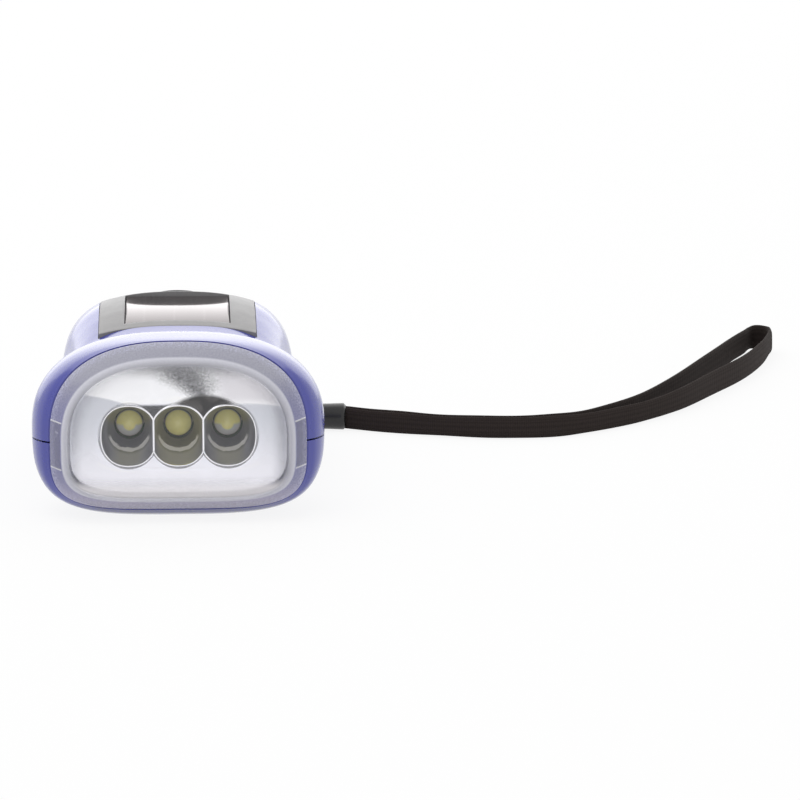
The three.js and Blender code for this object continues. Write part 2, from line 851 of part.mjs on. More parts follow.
// Solar panel
function solarBezel() {
  const window = block([-windowHalf, windowHalf], [windowStart, windowEnd], [0, bodyTop + overrun]);
  return crownSlab(bezelHalf, bezelStart, bezelEnd, -bezelProud, bezelThick).subtract(window);
}

const solarCell = () => cellSlab(0, 0, cellThick);

// Crank
function lever() {
  const points = [];
  const tipSteps = 10;
  const tipCentre = leverReach - leverHalf;
  for (let i = 0; i <= tipSteps; i += 1) {
    const angle = (i / tipSteps) * Math.PI;
    points.push([leverHalf * Math.cos(angle), tipCentre + leverHalf * Math.sin(angle)]);
  }
  points.push([-leverHalf, 0], [leverHalf, 0]);
  let solid = raised(points, leverBottom, leverTop).add(rod(hubRadius, 0, leverTop, 0, 0, largeSides));
  const slot = block([-slotHalf, slotHalf], [slotStart, slotEnd], [-overrun, leverTop + overrun]);
  solid = solid.subtract(slot);
  solid = solid.subtract(rod(screwWellRadius, -overrun, screwWell));
  solid = solid.subtract(rod(screwRadius + seatGap, 0, leverTop));
  solid = solid.subtract(rod(shaftRadius + seatGap, socketRoof, leverTop + overrun));
  const pinHalf = slotHalf + wall;
  const pinBore = knobPinRadius + seatGap;
  return solid.subtract(barAlongX(pinBore, -pinHalf, pinHalf, knobPinPlace, knobHeight, smallSides));
}

function knobArm() {
  const rise = [knobHeight - blockRound, knobHeight + blockRound];
  const body = block([-blockHalf, blockHalf], [blockStart, knobPinPlace], rise);
  const nose = barAlongX(blockRound, -blockHalf, blockHalf, knobPinPlace, knobHeight);
  const spindleEnd = knobEnd - seatGap;
  const spindle = barAlongY(spindleRadius, spindleEnd, blockStart + overrun, 0, knobHeight, smallSides);
  const pinBore = knobPinRadius + seatGap;
  const pinHole = barAlongX(pinBore, -headHalf, headHalf, knobPinPlace, knobHeight, smallSides);
  const screwHole = barAlongY(
    knobScrewShank + seatGap / 2,
    spindleEnd - overrun,
    spindleEnd + knobScrewLength + seatGap,
    0,
    knobHeight,
    smallSides,
  );
  return body.add(nose).add(spindle).subtract(pinHole).subtract(screwHole);
}

function knobSleeve() {
  const start = blockStart - seatGap;
  let solid = barAlongY(knobRadius, knobEnd, start, 0, knobHeight, largeSides);
  for (let i = 0; i < gripGrooves; i += 1) {
    const angle = (i / gripGrooves) * 2 * Math.PI;
    const x = knobRadius * Math.cos(angle);
    const z = knobHeight + knobRadius * Math.sin(angle);
    const margin = knobRadius / 2;
    solid = solid.subtract(barAlongY(gripGrooveDepth, knobEnd + margin, start - margin, x, z, legSides));
  }
  return solid.subtract(barAlongY(spindleRadius + seatGap, 0, leverReach, 0, knobHeight, smallSides));
}

function knobScrew() {
  const seat = knobEnd - 2 * seatGap;
  const head = barAlongY(knobScrewHead, seat - knobScrewHeadThick, seat, 0, knobHeight, smallSides);
  const shank = barAlongY(knobScrewShank, seat - seatGap, seat + knobScrewLength, 0, knobHeight, smallSides);
  const groove = block(
    [-crossWidth / 2, crossWidth / 2],
    [seat - knobScrewHeadThick - overrun, seat - knobScrewHeadThick / 2],
    [0, 2 * knobHeight],
  );
  return head.add(shank).subtract(groove);
}

function knobPin() {
  const half = slotHalf + wall / 2;
  return barAlongX(knobPinRadius, -half, half, knobPinPlace, knobHeight, smallSides);
}

// A screw with its head at the bottom and a cross recess.
function screw(headRadius, headThick, length, headBottom) {
  const head = rod(headRadius, headBottom, headBottom + headThick, 0, 0, smallSides);
  const shank = rod(screwRadius - seatGap / 2, headBottom, headBottom + headThick + length, 0, 0, smallSides);
  let solid = head.add(shank);
  for (const [x, y] of [[crossHalf, crossWidth / 2], [crossWidth / 2, crossHalf]]) {
    solid = solid.subtract(block([-x, x], [-y, y], [headBottom - overrun, headBottom + crossDepth]));
  }
  return solid;
}

function crankShaft() {
  const tip = rod(shaftTipRadius, shaftBottom, shaftTop + shaftTipLength);
  const bore = rod(screwRadius + seatGap, 0, shaftBottom + screwLength);
  return rod(shaftRadius, shaftBottom, shaftTop).add(tip).subtract(bore);
}

function crankBush() {
  const top = gearBottom - runningGap;
  const sleeve = rod(bushRadius, bellyHeight, top);
  const flange = rod(bushFlange, bellyHeight + wall + seatGap, top);
  return sleeve.add(flange).subtract(rod(shaftRadius + seatGap, 0, leverReach));
}

// A spur gear's outline: root, pitch and tip points on both sides of each tooth
function gearPoints(teeth, pitchModule) {
  const pitch = pitchModule * teeth / 2;
  const base = pitch * Math.cos(pressureAngle);
  const involute = (angle) => Math.tan(angle) - angle;
  const atPitch = Math.PI / (2 * teeth) - backlashShare * pitchModule / pitch;
  const halfAngle = (radius) => {
    const rolled = radius > base ? involute(Math.acos(base / radius)) : 0;
    return atPitch + involute(pressureAngle) - rolled;
  };
  const radii = [pitch - toothRootShare * pitchModule, pitch, pitch + toothTipShare * pitchModule];
  const points = [];
  for (let i = 0; i < teeth; i += 1) {
    const centre = (i / teeth) * 2 * Math.PI;
    const flank = radii.map((radius) => [radius, halfAngle(radius)]);
    for (const [radius, angle] of flank) points.push([radius, centre - angle]);
    for (const [radius, angle] of flank.toReversed()) points.push([radius, centre + angle]);
  }
  return points.map(([radius, angle]) => [radius * Math.cos(angle), radius * Math.sin(angle)]);
}

const spurGear = (teeth, pitchModule, bottom, top) => raised(gearPoints(teeth, pitchModule), bottom, top);

// How far a driven gear is turned so that its teeth fall between those of its driver.
function meshTurn(driverTeeth, driverTurn, drivenTeeth, direction) {
  const phase = (direction - driverTurn) * driverTeeth / (2 * Math.PI);
  return direction + Math.PI - (0.5 - phase) * 2 * Math.PI / drivenTeeth;
}

const idlerOneAngle = meshTurn(crankTeeth, 0, idlerPinionTeeth, Math.PI / 2);
const idlerTwoAngle = meshTurn(idlerOneTeeth, idlerOneAngle, idlerPinionTeeth, idlerTwoTurn);
const rotorAngle = meshTurn(idlerTwoTeeth, idlerTwoAngle, rotorTeeth, rotorTurn);

function crankGear() {
  const top = gearBottom + crankGearThick;
  let solid = spurGear(crankTeeth, crankModule, gearBottom, top);
  for (let i = 0; i < gearHoles; i += 1) {
    const angle = (i / gearHoles) * 2 * Math.PI;
    const place = [gearHoleRing * Math.cos(angle), gearHoleRing * Math.sin(angle)];
    solid = solid.subtract(rod(gearHoleRadius, gearBottom - overrun, top + overrun, ...place, smallSides));
  }
  return solid.subtract(rod(shaftRadius + seatGap, 0, leverReach));
}

function idlerGear(bigTeeth, pinionModule, bottom, pinionTop, bigBottom, bore) {
  const pinion = spurGear(idlerPinionTeeth, pinionModule, bottom, pinionTop);
  const neckRadius = pinionModule * (idlerPinionTeeth / 2 - toothRootShare);
  const neck = rod(neckRadius, bottom, bigBottom + gearThick / 2, 0, 0, smallSides);
  const big = spurGear(bigTeeth, idlerModule, bigBottom, bigBottom + gearThick);
  return pinion.add(neck).add(big).subtract(rod(bore, 0, bodyTop, 0, 0, smallSides));
}

const idlerGearOne = () => idlerGear(
  idlerOneTeeth,
  crankModule,
  gearBottom,
  gearBottom + crankGearThick,
  firstLayer,
  idlerPinRadius + seatGap,
);
const idlerGearTwo = () => idlerGear(
  idlerTwoTeeth,
  idlerModule,
  firstLayer,
  firstLayer + gearThick,
  secondLayer,
  idlerPinRadius + seatGap,
);
const rotorPinion = () => spurGear(rotorTeeth, idlerModule, secondLayer, secondLayer + gearThick)
  .subtract(rod(rotorShaftRadius + seatGap, 0, bodyTop, 0, 0, smallSides));
const idlerPinOne = () => rod(idlerPinRadius, idlerPinBottom, plateTop, 0, 0, smallSides);

function idlerPinTwo() {
  const bottom = firstLayer - runningGap - pinHeadThick;
  return rod(pinHeadRadius, bottom, bottom + pinHeadThick, 0, 0, smallSides)
    .add(rod(idlerPinRadius, bottom, plateTop, 0, 0, smallSides));
}

function rotorShaft() {
  const bottom = secondLayer - runningGap - pinHeadThick;
  return rod(pinHeadRadius, bottom, bottom + pinHeadThick, 0, 0, smallSides)
    .add(rod(rotorShaftRadius, bottom, rotorShaftTop, 0, 0, smallSides));
}

const rotorMagnet = () => rod(magnetRadius, magnetBottom, magnetBottom + magnetThick, 0, 0, largeSides)
  .subtract(rod(rotorShaftRadius + seatGap, 0, bodyTop, 0, 0, smallSides));

// Gear plate, notched at the front for the generator's coil
const poleInner = magnetRadius + poleGap;
const poleOuter = poleInner + coreThick;
const yokeHalf = coreThick / 2;
const notchHalf = bobbinHalf + bobbinWall + 2 * seatGap;

function gearPlate() {
  const outline = [
    [-plateHalf, plateFront], [plateHalf, plateFront], [plateHalf, plateShoulder],
    [plateTailHalf, plateShoulder + plateTailHalf / 2], [plateTailHalf, plateTail],
    [-plateTailHalf, plateTail], [-plateTailHalf, plateShoulder + plateTailHalf / 2],
    [-plateHalf, plateShoulder],
  ];
  let solid = raised(outline, plateBottom, plateTop);
  const notchEnd = yokePlace + yokeHalf + bobbinWall + flangeRise + 2 * seatGap;
  const notch = block(
    [rotorPlace[0] - notchHalf, rotorPlace[0] + notchHalf],
    [plateFront - overrun, notchEnd],
    [0, bodyTop],
  );
  for (const side of [-1, 1]) {
    const x = rotorPlace[0] + side * (poleInner + poleOuter) / 2;
    solid = solid.add(rod(corePadRadius, plateBottom, coreBottom - seatGap, x, corePadPlace, smallSides));
  }
  solid = solid.subtract(notch);
  for (const [x, y] of postPlaces) {
    solid = solid.subtract(rod(screwRadius + seatGap, 0, bodyTop, x, y, smallSides));
  }
  solid = solid.subtract(rod(idlerPinRadius + seatGap, 0, bodyTop, ...idlerOnePlace, smallSides));
  solid = solid.subtract(rod(idlerPinRadius + seatGap, 0, bodyTop, ...idlerTwoPlace, smallSides));
  solid = solid.subtract(rod(rotorShaftRadius + seatGap, 0, bodyTop, ...rotorPlace, smallSides));
  return solid.subtract(rod(shaftTipRadius + seatGap, 0, bodyTop, 0, hubPlace, smallSides));
}

// Generator core: two poles round the magnet, two limbs and a yoke through the coil
function generatorCore() {
  const z = [coreBottom, coreBottom + coreHeight];
  const [x0, y0] = rotorPlace;
  const bore = rod(poleInner, 0, bodyTop, x0, y0, largeSides);
  const ring = rod(poleOuter, ...z, x0, y0, largeSides).subtract(bore);
  const rearCut = block([x0 - poleInner / 2, x0 + poleInner / 2], [y0, y0 + 2 * poleOuter], [0, bodyTop]);
  const frontCut = block([x0 - poleInner, x0 + poleInner], [y0 - 2 * poleOuter, y0], [0, bodyTop]);
  let solid = ring.subtract(rearCut).subtract(frontCut);
  for (const side of [-1, 1]) {
    const x = [x0 + side * poleInner, x0 + side * poleOuter].sort((a, b) => a - b);
    solid = solid.add(block(x, [yokePlace - yokeHalf, y0], z));
  }
  const yoke = block([x0 - poleOuter, x0 + poleOuter], [yokePlace - yokeHalf, yokePlace + yokeHalf], z);
  return solid.add(yoke);
}

const coreMiddle = coreBottom + coreHeight / 2;

// A square sleeve round the yoke, from one offset of it to a larger one.
function yokeSleeve(half, inner, outer) {
  const around = (offset, reach) => block(
    [rotorPlace[0] - reach, rotorPlace[0] + reach],
    [yokePlace - yokeHalf - offset, yokePlace + yokeHalf + offset],
    [coreMiddle - coreHeight / 2 - offset, coreMiddle + coreHeight / 2 + offset],
  );
  return around(outer, half).subtract(around(inner, half + overrun));
}

function generatorBobbin() {
  const inner = seatGap;
  const tube = yokeSleeve(bobbinHalf, inner, inner + bobbinWall);
  let solid = tube;
  for (const side of [-1, 1]) {
    const ends = [side * bobbinHalf, side * (bobbinHalf - bobbinWall)].sort((a, b) => a - b);
    const slice = block(ends.map((x) => rotorPlace[0] + x), [0, torchLength], [0, bodyTop]);
    solid = solid.add(yokeSleeve(bobbinHalf, inner, inner + bobbinWall + flangeRise).intersect(slice));
  }
  return solid;
}

const generatorCoil = () => yokeSleeve(
  bobbinHalf - bobbinWall - seatGap,
  2 * seatGap + bobbinWall,
  seatGap + bobbinWall + coilRise,
);

// Electrics
function buttonCell() {
  const half = cellLength / 2;
  const body = barAlongX(cellRadius, -half, half - overrun / 2);
  return body.add(barAlongX(cellRadius - overrun, -half, half, 0, 0));
}

function mainBoard() {
  const span = [mainBoardFront, mainBoardRear];
  const top = mainBoardBottom + boardThick;
  const board = block([-mainBoardHalf, mainBoardHalf], span, [mainBoardBottom, top]);
  const middle = (mainBoardFront + mainBoardRear) / 2;
  const chipSpan = [middle - chipHalf, middle + chipHalf];
  const chip = block([-chipHalf, chipHalf], chipSpan, [mainBoardBottom, top + chipHeight]);
  return board.add(chip);
}

function boardCapacitor() {
  const half = capacitorLength / 2;
  return barAlongY(capacitorRadius, -half, half, 0, 0, smallSides);
}

const switchTop = plateTop + seatGap + switchHeight;
const plungerTop = switchTop + plungerRise;

function switchBody() {
  const body = block([-switchHalf, switchHalf], [-switchHalf, switchHalf], [plateTop + seatGap, switchTop]);
  const well = rod(plungerRadius + seatGap, switchTop - plungerWell - seatGap, bodyTop, 0, 0, smallSides);
  return body.subtract(well);
}

const switchPlunger = () => rod(plungerRadius, plungerTop - plungerLength, plungerTop, 0, 0, smallSides);

function pushButton() {
  const crown = crownAt(buttonPlace);
  const top = crown + buttonRise;
  const crownDrop = buttonRise / 3;
  const flangeTop = crown - buttonFlangeDrop;
  const cap = rod(buttonRadius, flangeTop, top - crownDrop);
  const dome = rod(buttonRadius - crownDrop, flangeTop, top);
  const flange = rod(buttonFlangeRadius, flangeTop - buttonFlangeThick, flangeTop);
  const stem = rod(buttonStemRadius, plungerTop + seatGap, flangeTop, 0, 0, smallSides);
  return cap.add(dome).add(flange).add(stem);
}

// Strap routes: lists of places chosen by hand along the cord
const height = (list, z) => list.map(([x, y]) => new THREE.Vector3(x, y, z));
const tapeRoute = height([
  [33.4, 88], [38, 86.2], [44, 83.4], [50, 80.8], [56.6, 78.9], [63, 77.9], [69.6, 78], [75.4, 79.6],
  [80, 82.1], [85.9, 87.1], [92.9, 94.3], [100.6, 104.8], [109.2, 120.9], [118.2, 139.4], [124.3, 156.6],
  [127.2, 167.5], [128.2, 173.2], [127.8, 176.8], [126.2, 177.6], [124.9, 175], [122.6, 170.6],
  [119.2, 163.4], [111, 142.5], [101.7, 120.5], [92.3, 102.2], [84.9, 91], [79.4, 84.8], [74.8, 81.8],
  [69.4, 80], [63, 79.8], [56.7, 80.7], [50.5, 82.6], [44.6, 85.3], [38.7, 88], [33.6, 89.9],
], tapeHeight);
const stringRoute = [
  [22.7, 89, 3], [21.6, 89.2, 3.8], [20.4, 90.3, 6.4], [18.8, 91.4, 9.7], [16.8, 91.3, 10.9],
  [15.2, 91, 11], [13.9, 91.6, 11], [13.6, 92.6, 11], [13.9, 93.6, 11], [15.2, 94.2, 11], [16.8, 93.9, 10.9],
  [18.8, 93.1, 9.7], [20.4, 92, 6.4], [21.6, 90.9, 3.8], [22.7, 90.6, 3],
].map((point) => new THREE.Vector3(...point));

function strapSleeve() {
  const length = sleeveStart.distanceTo(sleeveEnd);
  const geometry = new THREE.CylinderGeometry(sleeveRadius, sleeveRadius, length, roundSides);
  const turn = new THREE.Quaternion().setFromUnitVectors(
    new THREE.Vector3(0, 1, 0),
    sleeveEnd.clone().sub(sleeveStart).normalize(),
  );
  geometry.applyQuaternion(turn);
  const middle = sleeveStart.clone().add(sleeveEnd).divideScalar(2);
  geometry.translate(middle.x, middle.y, middle.z);
  return solidOf(geometry);
}

function strapPin() {
  const bottom = bellyHeight + wall / 2 + seatGap;
  return rod(strapPinRadius, bottom, partingHeight - seatGap / 2, 0, 0, smallSides);
}

// Wire routes, end to end between the parts that they join
const wireRoutes = {
  wire_cell_red: [[8.6, 33, 15.4], [9.8, 33, 16.8], [10, 32, 19.2], [10, 31.4, 21]],
  wire_cell_black: [[-8.6, 33, 15.4], [-9.8, 33, 16.8], [-10, 32, 19.2], [-10, 31.4, 21]],
  wire_led_red: [[4, 26.4, 19], [4, 26.9, 19.4], [4.2, 27.4, 20.1], [4.4, 28, 20.9]],
  wire_led_black: [[-4, 26.4, 19], [-4, 26.9, 19.4], [-4.2, 27.4, 20.1], [-4.4, 28, 20.9]],
};

// Finishes
const finish = (color, roughness, metalness = 0) => ({ color, roughness, metalness });
const finishes = {
  blue: finish(0x2c2f94, 0.25),
  clear: finish(0xe8eaf2, 0.1),
  mirror: finish(0xd8d8dc, 0.1, 1),
  phosphor: finish(0xc9c96a, 0.2),
  bezel: finish(0x2b2b2e, 0.35),
  cell: finish(0x241e22, 0.15),
  black: finish(0x1c1c1e, 0.5),
  steel: finish(0xb8bcc0, 0.3, 1),
  brass: finish(0xc8a85a, 0.35, 1),
  gear: finish(0xe4e2d8, 0.5),
  board: finish(0x1f6b3a, 0.5),
  magnet: finish(0x3c3c40, 0.4, 0.5),
  copper: finish(0xb8693a, 0.35, 1),
  red: finish(0xb02020, 0.5),
  strap: finish(0x141416, 0.8),
};
const torch = new THREE.Group();
const inside = new THREE.Group();
inside.position.y = -torchLength / 2;
torch.add(inside);

function place(name, solid, look, at = [0, 0, 0], turn = 0, parent = inside) {
  const mesh = new THREE.Mesh(geometryOf(solid), new THREE.MeshStandardMaterial(finishes[look]));
  mesh.name = name;
  mesh.position.set(...at);
  mesh.rotation.z = turn;
  parent.add(mesh);
}

place('lower_housing', lowerHousing(), 'blue');
place('upper_housing', upperHousing(), 'blue');
place('lens_cap', lensCap(), 'clear');
place('reflector', reflector(), 'mirror');
const ledSolid = led();
cupPlaces.forEach((x, i) => place(`led_${i + 1}`, ledSolid, 'phosphor', [x, 0, cupHeight]));
place('led_board', ledBoard(), 'board');
place('solar_bezel', solarBezel(), 'bezel');
place('solar_cell', solarCell(), 'cell');

const crank = new THREE.Group();
crank.position.y = hubPlace;
inside.add(crank);
place('crank_lever', lever(), 'blue', [0, 0, 0], 0, crank);
place('crank_shaft', crankShaft(), 'steel', [0, 0, 0], 0, crank);
place('crank_gear', crankGear(), 'gear', [0, 0, 0], 0, crank);
const crankScrew = screw(screwHeadRadius, screwHeadThick, screwLength, seatGap);
place('crank_screw', crankScrew, 'steel', [0, 0, 0], 0, crank);
place('knob_pin', knobPin(), 'steel', [0, 0, 0], 0, crank);
place('knob_arm', knobArm(), 'blue', [0, 0, 0], 0, crank);
place('knob_sleeve', knobSleeve(), 'black', [0, 0, 0], 0, crank);
place('knob_screw', knobScrew(), 'steel', [0, 0, 0], 0, crank);

place('crank_bush', crankBush(), 'brass', [0, hubPlace, 0]);
place('idler_gear_1', idlerGearOne(), 'gear', [...idlerOnePlace, 0], idlerOneAngle);
place('idler_gear_2', idlerGearTwo(), 'gear', [...idlerTwoPlace, 0], idlerTwoAngle);
place('rotor_pinion', rotorPinion(), 'brass', [...rotorPlace, 0], rotorAngle);
place('idler_pin_1', idlerPinOne(), 'steel', [...idlerOnePlace, 0]);
place('idler_pin_2', idlerPinTwo(), 'steel', [...idlerTwoPlace, 0]);
place('rotor_shaft', rotorShaft(), 'steel', [...rotorPlace, 0]);
place('rotor_magnet', rotorMagnet(), 'magnet', [...rotorPlace, 0]);
place('gear_plate', gearPlate(), 'black');
place('generator_core', generatorCore(), 'steel');
place('generator_bobbin', generatorBobbin(), 'black');
place('generator_coil', generatorCoil(), 'copper');

const cellSolid = buttonCell();
for (let i = 0; i < cellCount; i += 1) {
  const x = (i - (cellCount - 1) / 2) * (cellLength + cellGap);
  place(`button_cell_${i + 1}`, cellSolid, 'steel', [x, cellRowPlace, cellRowHeight]);
}
place('main_board', mainBoard(), 'board');
const capacitorHeight = mainBoardBottom + boardThick + seatGap + capacitorRadius;
const capacitorX = (mainBoardHalf + chipHalf) / 2;
const capacitorPlace = (mainBoardFront + mainBoardRear) / 2;
place('board_capacitor', boardCapacitor(), 'black', [capacitorX, capacitorPlace, capacitorHeight]);
place('switch_body', switchBody(), 'black', [0, buttonPlace, 0]);
place('switch_plunger', switchPlunger(), 'red', [0, buttonPlace, 0]);
place('push_button', pushButton(), 'black', [0, buttonPlace, 0]);

const housingScrew = screw(screwHeadRadius, screwHeadThick, screwLength - seatGap, bellyHeight + seatGap / 2);
screwPlaces.forEach(([x, y], i) => place(`housing_screw_${i + 1}`, housingScrew, 'steel', [x, y, 0]));
const plateScrew = screw(plateScrewHead, screwHeadThick, plateScrewLength - seatGap, 0);
postPlaces.forEach(([x, y], i) => {
  const mesh = new THREE.Mesh(geometryOf(plateScrew), new THREE.MeshStandardMaterial(finishes.steel));
  mesh.name = `gear_plate_screw_${i + 1}`;
  mesh.rotation.x = Math.PI;
  mesh.position.set(x, y, plateTop + seatGap + screwHeadThick);
  inside.add(mesh);
});

place('strap_pin', strapPin(), 'steel', [strapPinHalf, strapPinPlace, 0]);
place('strap_string', sweep(stringRoute, stringDiameter, stringDiameter, stringSteps), 'strap');
place('strap_sleeve', strapSleeve(), 'black');
place('strap_tape', sweep(tapeRoute, tapeWidth, tapeThick, tapeSteps), 'strap');
for (const [name, route] of Object.entries(wireRoutes)) {
  const points = route.map((point) => new THREE.Vector3(...point));
  place(name, sweep(points, wireDiameter, wireDiameter, wireSteps), name.endsWith('red') ? 'red' : 'black');
}

export default torch;
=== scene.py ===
# %% [markdown]
# # A pocket torch with a hand crank
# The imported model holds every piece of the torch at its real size, as plain facets. This script dresses
# it: smooth shells, clear and mirrored plastic, rubber and woven nylon. The torch stands on Z = 0 with
# its lens towards -Y. Blender works in metres, and the sizes below are written in millimetres. A place
# is counted from the front of the lens cap towards the tail.

# %% Load the frame
import json
import math

import bpy
import numpy as np
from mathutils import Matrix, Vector
from mathutils.kdtree import KDTree


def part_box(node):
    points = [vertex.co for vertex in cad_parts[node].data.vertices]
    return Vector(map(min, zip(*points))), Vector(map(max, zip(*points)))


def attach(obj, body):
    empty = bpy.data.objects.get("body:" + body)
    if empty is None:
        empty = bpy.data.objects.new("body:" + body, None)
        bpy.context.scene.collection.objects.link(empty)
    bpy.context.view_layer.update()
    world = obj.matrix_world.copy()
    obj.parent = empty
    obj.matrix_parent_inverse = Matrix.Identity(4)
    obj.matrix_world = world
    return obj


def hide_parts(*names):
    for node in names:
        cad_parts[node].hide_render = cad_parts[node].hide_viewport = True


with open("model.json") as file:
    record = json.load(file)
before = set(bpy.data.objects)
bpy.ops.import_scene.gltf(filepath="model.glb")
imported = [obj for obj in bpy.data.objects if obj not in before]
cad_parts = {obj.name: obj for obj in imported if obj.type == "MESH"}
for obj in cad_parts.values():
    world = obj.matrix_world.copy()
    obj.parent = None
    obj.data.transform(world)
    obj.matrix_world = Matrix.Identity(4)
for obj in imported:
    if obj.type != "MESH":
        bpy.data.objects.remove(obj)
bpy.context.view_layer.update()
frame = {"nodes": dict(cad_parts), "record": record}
nodes = frame["nodes"]

MM = 0.001
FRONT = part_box("lens_cap")[0].y / MM
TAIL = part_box("upper_housing")[1].y / MM

# %% [markdown]
# ## The camera
# The photograph was taken with a long lens, 800 mm away and 12 degrees above the table. One of its
# pixels covers 0.178 mm at the lens cap. The foot of the cap sits left of the middle of the picture, so
# the camera looks past it. Its turn is worked out from that one place.

# %% Camera
PICTURE = 800
PIXEL = 0.178
DISTANCE = 800
LIFT = math.radians(12)
FOOT_PIXEL = (179.3, 525)
SENSOR = 36

focal = DISTANCE / PIXEL
seen = Vector((FOOT_PIXEL[0] - PICTURE / 2, PICTURE / 2 - FOOT_PIXEL[1], -focal)).normalized()
tilt = math.atan2(seen.y, seen.z) - math.acos(-math.sin(LIFT) / math.hypot(seen.y, seen.z))
tilt %= 2 * math.pi
ahead = seen.y * math.cos(tilt) - seen.z * math.sin(tilt)
camera_data = bpy.data.cameras.new("camera")
camera_data.lens = SENSOR * focal / PICTURE
camera_data.sensor_width = SENSOR
camera = bpy.data.objects.new("camera", camera_data)
bpy.context.collection.objects.link(camera)
foot = Vector((0, FRONT, 0))
camera.location = (foot + DISTANCE * Vector((0, -math.cos(LIFT), math.sin(LIFT)))) * MM
camera.rotation_euler = (tilt, 0, math.atan2(seen.x, ahead))
bpy.context.scene.camera = camera
print("lens", round(camera_data.lens, 1), "mm, tilt", round(math.degrees(tilt), 2), "degrees")

# %% [markdown]
# ## Tools for making pieces
# Almost every form here is a skin over a row of outlines. It could be pushed and pulled out of a
# cylinder by hand, but these outlines are known as numbers. So a grid is added and rolled up: each row
# of its points becomes one outline, then its seam is merged and its ends are closed. Round pieces are
# spun from half of their section in the same way.

# %% Helpers that make a piece
MERGE = 0.002 * MM
THINNEST = 0.002


def added(name, operator, **values):
    """Adds a primitive with nothing else selected, and names it."""
    bpy.ops.object.select_all(action="DESELECT")
    operator(**values)
    bpy.context.object.name = name
    return bpy.context.object


def rolled(name, rows):
    """A grid rolled into a closed skin over rows of (x, y, z) points, in millimetres."""
    rows = np.array([[tuple(point) for point in row] for row in rows], float)
    rows = np.concatenate([rows, rows[:, :1]], axis=1)
    spans = {"x_subdivisions": rows.shape[1] - 1, "y_subdivisions": rows.shape[0] - 1}
    piece = added(name, bpy.ops.mesh.primitive_grid_add, **spans)
    piece.data.name = name
    piece.data.vertices.foreach_set("co", (rows * MM).ravel())
    bpy.ops.object.mode_set(mode="EDIT")
    bpy.ops.mesh.select_all(action="SELECT")
    bpy.ops.mesh.remove_doubles(threshold=MERGE)
    bpy.ops.mesh.fill_holes(sides=0)
    bpy.ops.mesh.select_all(action="SELECT")
    bpy.ops.mesh.normals_make_consistent(inside=False)
    bpy.ops.object.mode_set(mode="OBJECT")
    return piece


def turns(count):
    """Angles spread evenly round a circle."""
    return [2 * math.pi * i / count for i in range(count)]


def circle(radius, count):
    return [(radius * math.cos(turn), radius * math.sin(turn)) for turn in turns(count)]


def spun(name, section, axis="Z", at=(0, 0, 0), steps=64):
    """A solid spun from (radius, height) points, in millimetres, about an axis through a point."""
    order = {"X": (2, 0, 1), "Y": (1, 2, 0), "Z": (0, 1, 2)}[axis]
    rows = []
    for radius, height in section:
        ring = [(*point, height) for point in circle(max(radius, THINNEST), steps)]
        rows.append([[point[i] + at[k] for k, i in enumerate(order)] for point in ring])
    return rolled(name, rows)


def rod(name, radius, low, high, axis="Z", at=(0, 0, 0), steps=64):
    """A round rod between two heights on its axis."""
    return spun(name, [(0, low), (radius, low), (radius, high), (0, high)], axis, at, steps)


def boxed(name, x, y, z):
    """A box between two values on each axis, for cutting and joining."""
    middle = [sum(pair) / 2 * MM for pair in (x, y, z)]
    piece = added(name, bpy.ops.mesh.primitive_cube_add, size=1, location=middle)
    piece.scale = [(pair[1] - pair[0]) * MM for pair in (x, y, z)]
    bpy.ops.object.transform_apply(location=True, rotation=True, scale=True)
    return piece


# %% [markdown]
# A piece is cut and joined with the Boolean modifier, rounded with the Bevel modifier and then smoothed.
# Each modifier is applied at once, so that the next step works on the finished mesh. The last helper
# gives a piece its finish, attaches it to the body that it moves with and hides the node of the model
# that it stands for.

# %% Helpers that cut, round and attach a piece
SHARP_EDGE = 50


def clamped(value):
    return min(max(value, 0), 1)


def only(piece):
    """Selects one object and makes it the active one."""
    bpy.ops.object.select_all(action="DESELECT")
    piece.select_set(True)
    bpy.context.view_layer.objects.active = piece


def modified(piece, kind, **values):
    """Sets the values of a new modifier and applies it."""
    modifier = piece.modifiers.new(kind.lower(), kind)
    for key, value in values.items():
        setattr(modifier, key, value)
    only(piece)
    bpy.ops.object.modifier_apply(modifier=modifier.name)
    return piece


def carved(piece, tool, operation="DIFFERENCE"):
    """Cuts a piece with a tool, joins them or keeps what they share. The tool is used up."""
    modified(piece, "BOOLEAN", operation=operation, solver="EXACT", object=tool)
    bpy.data.objects.remove(tool)
    return piece


def together(pieces):
    """Joins pieces that don't touch into one object."""
    only(pieces[0])
    for piece in pieces[1:]:
        piece.select_set(True)
    bpy.ops.object.join()
    return pieces[0]


def softened(piece, width, segments=3):
    """Rounds the sharp edges of a piece."""
    sharp = {"limit_method": "ANGLE", "angle_limit": math.radians(SHARP_EDGE)}
    return modified(piece, "BEVEL", width=width * MM, segments=segments, miter_outer="MITER_ARC", **sharp)


def smoothed(piece, angle):
    """Shades a piece smoothly where its faces meet at less than an angle."""
    only(piece)
    bpy.ops.object.shade_smooth_by_angle(angle=math.radians(angle))


def attached(piece, angle, body, slot, stands_for, finish=None):
    """Smooths a piece, gives it its slot's finish, attaches it to its body and hides the CAD node that it
    stands for.
    """
    smoothed(piece, angle)
    piece.data.materials.clear()
    piece.data.materials.append((finish or finishes[slot]).material)
    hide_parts(stands_for)
    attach(piece, body)
    print(piece.name, len(piece.data.polygons), "faces")


# %% [markdown]
# ## Tools for finishes
# A finish could be wired node by node, but its maths reads best as an expression. A small class wraps
# one output of a node, so that adding or multiplying it adds the Math node.

# %% A wire between nodes
def maths(operation, swapped=False):
    """A method that adds one kind of Math node to a wire."""
    def method(wire, other=0):
        first, second = (other, wire) if swapped else (wire, other)
        return wire.nodes.node("ShaderNodeMath", {"operation": operation}, {0: first, 1: second})

    return method


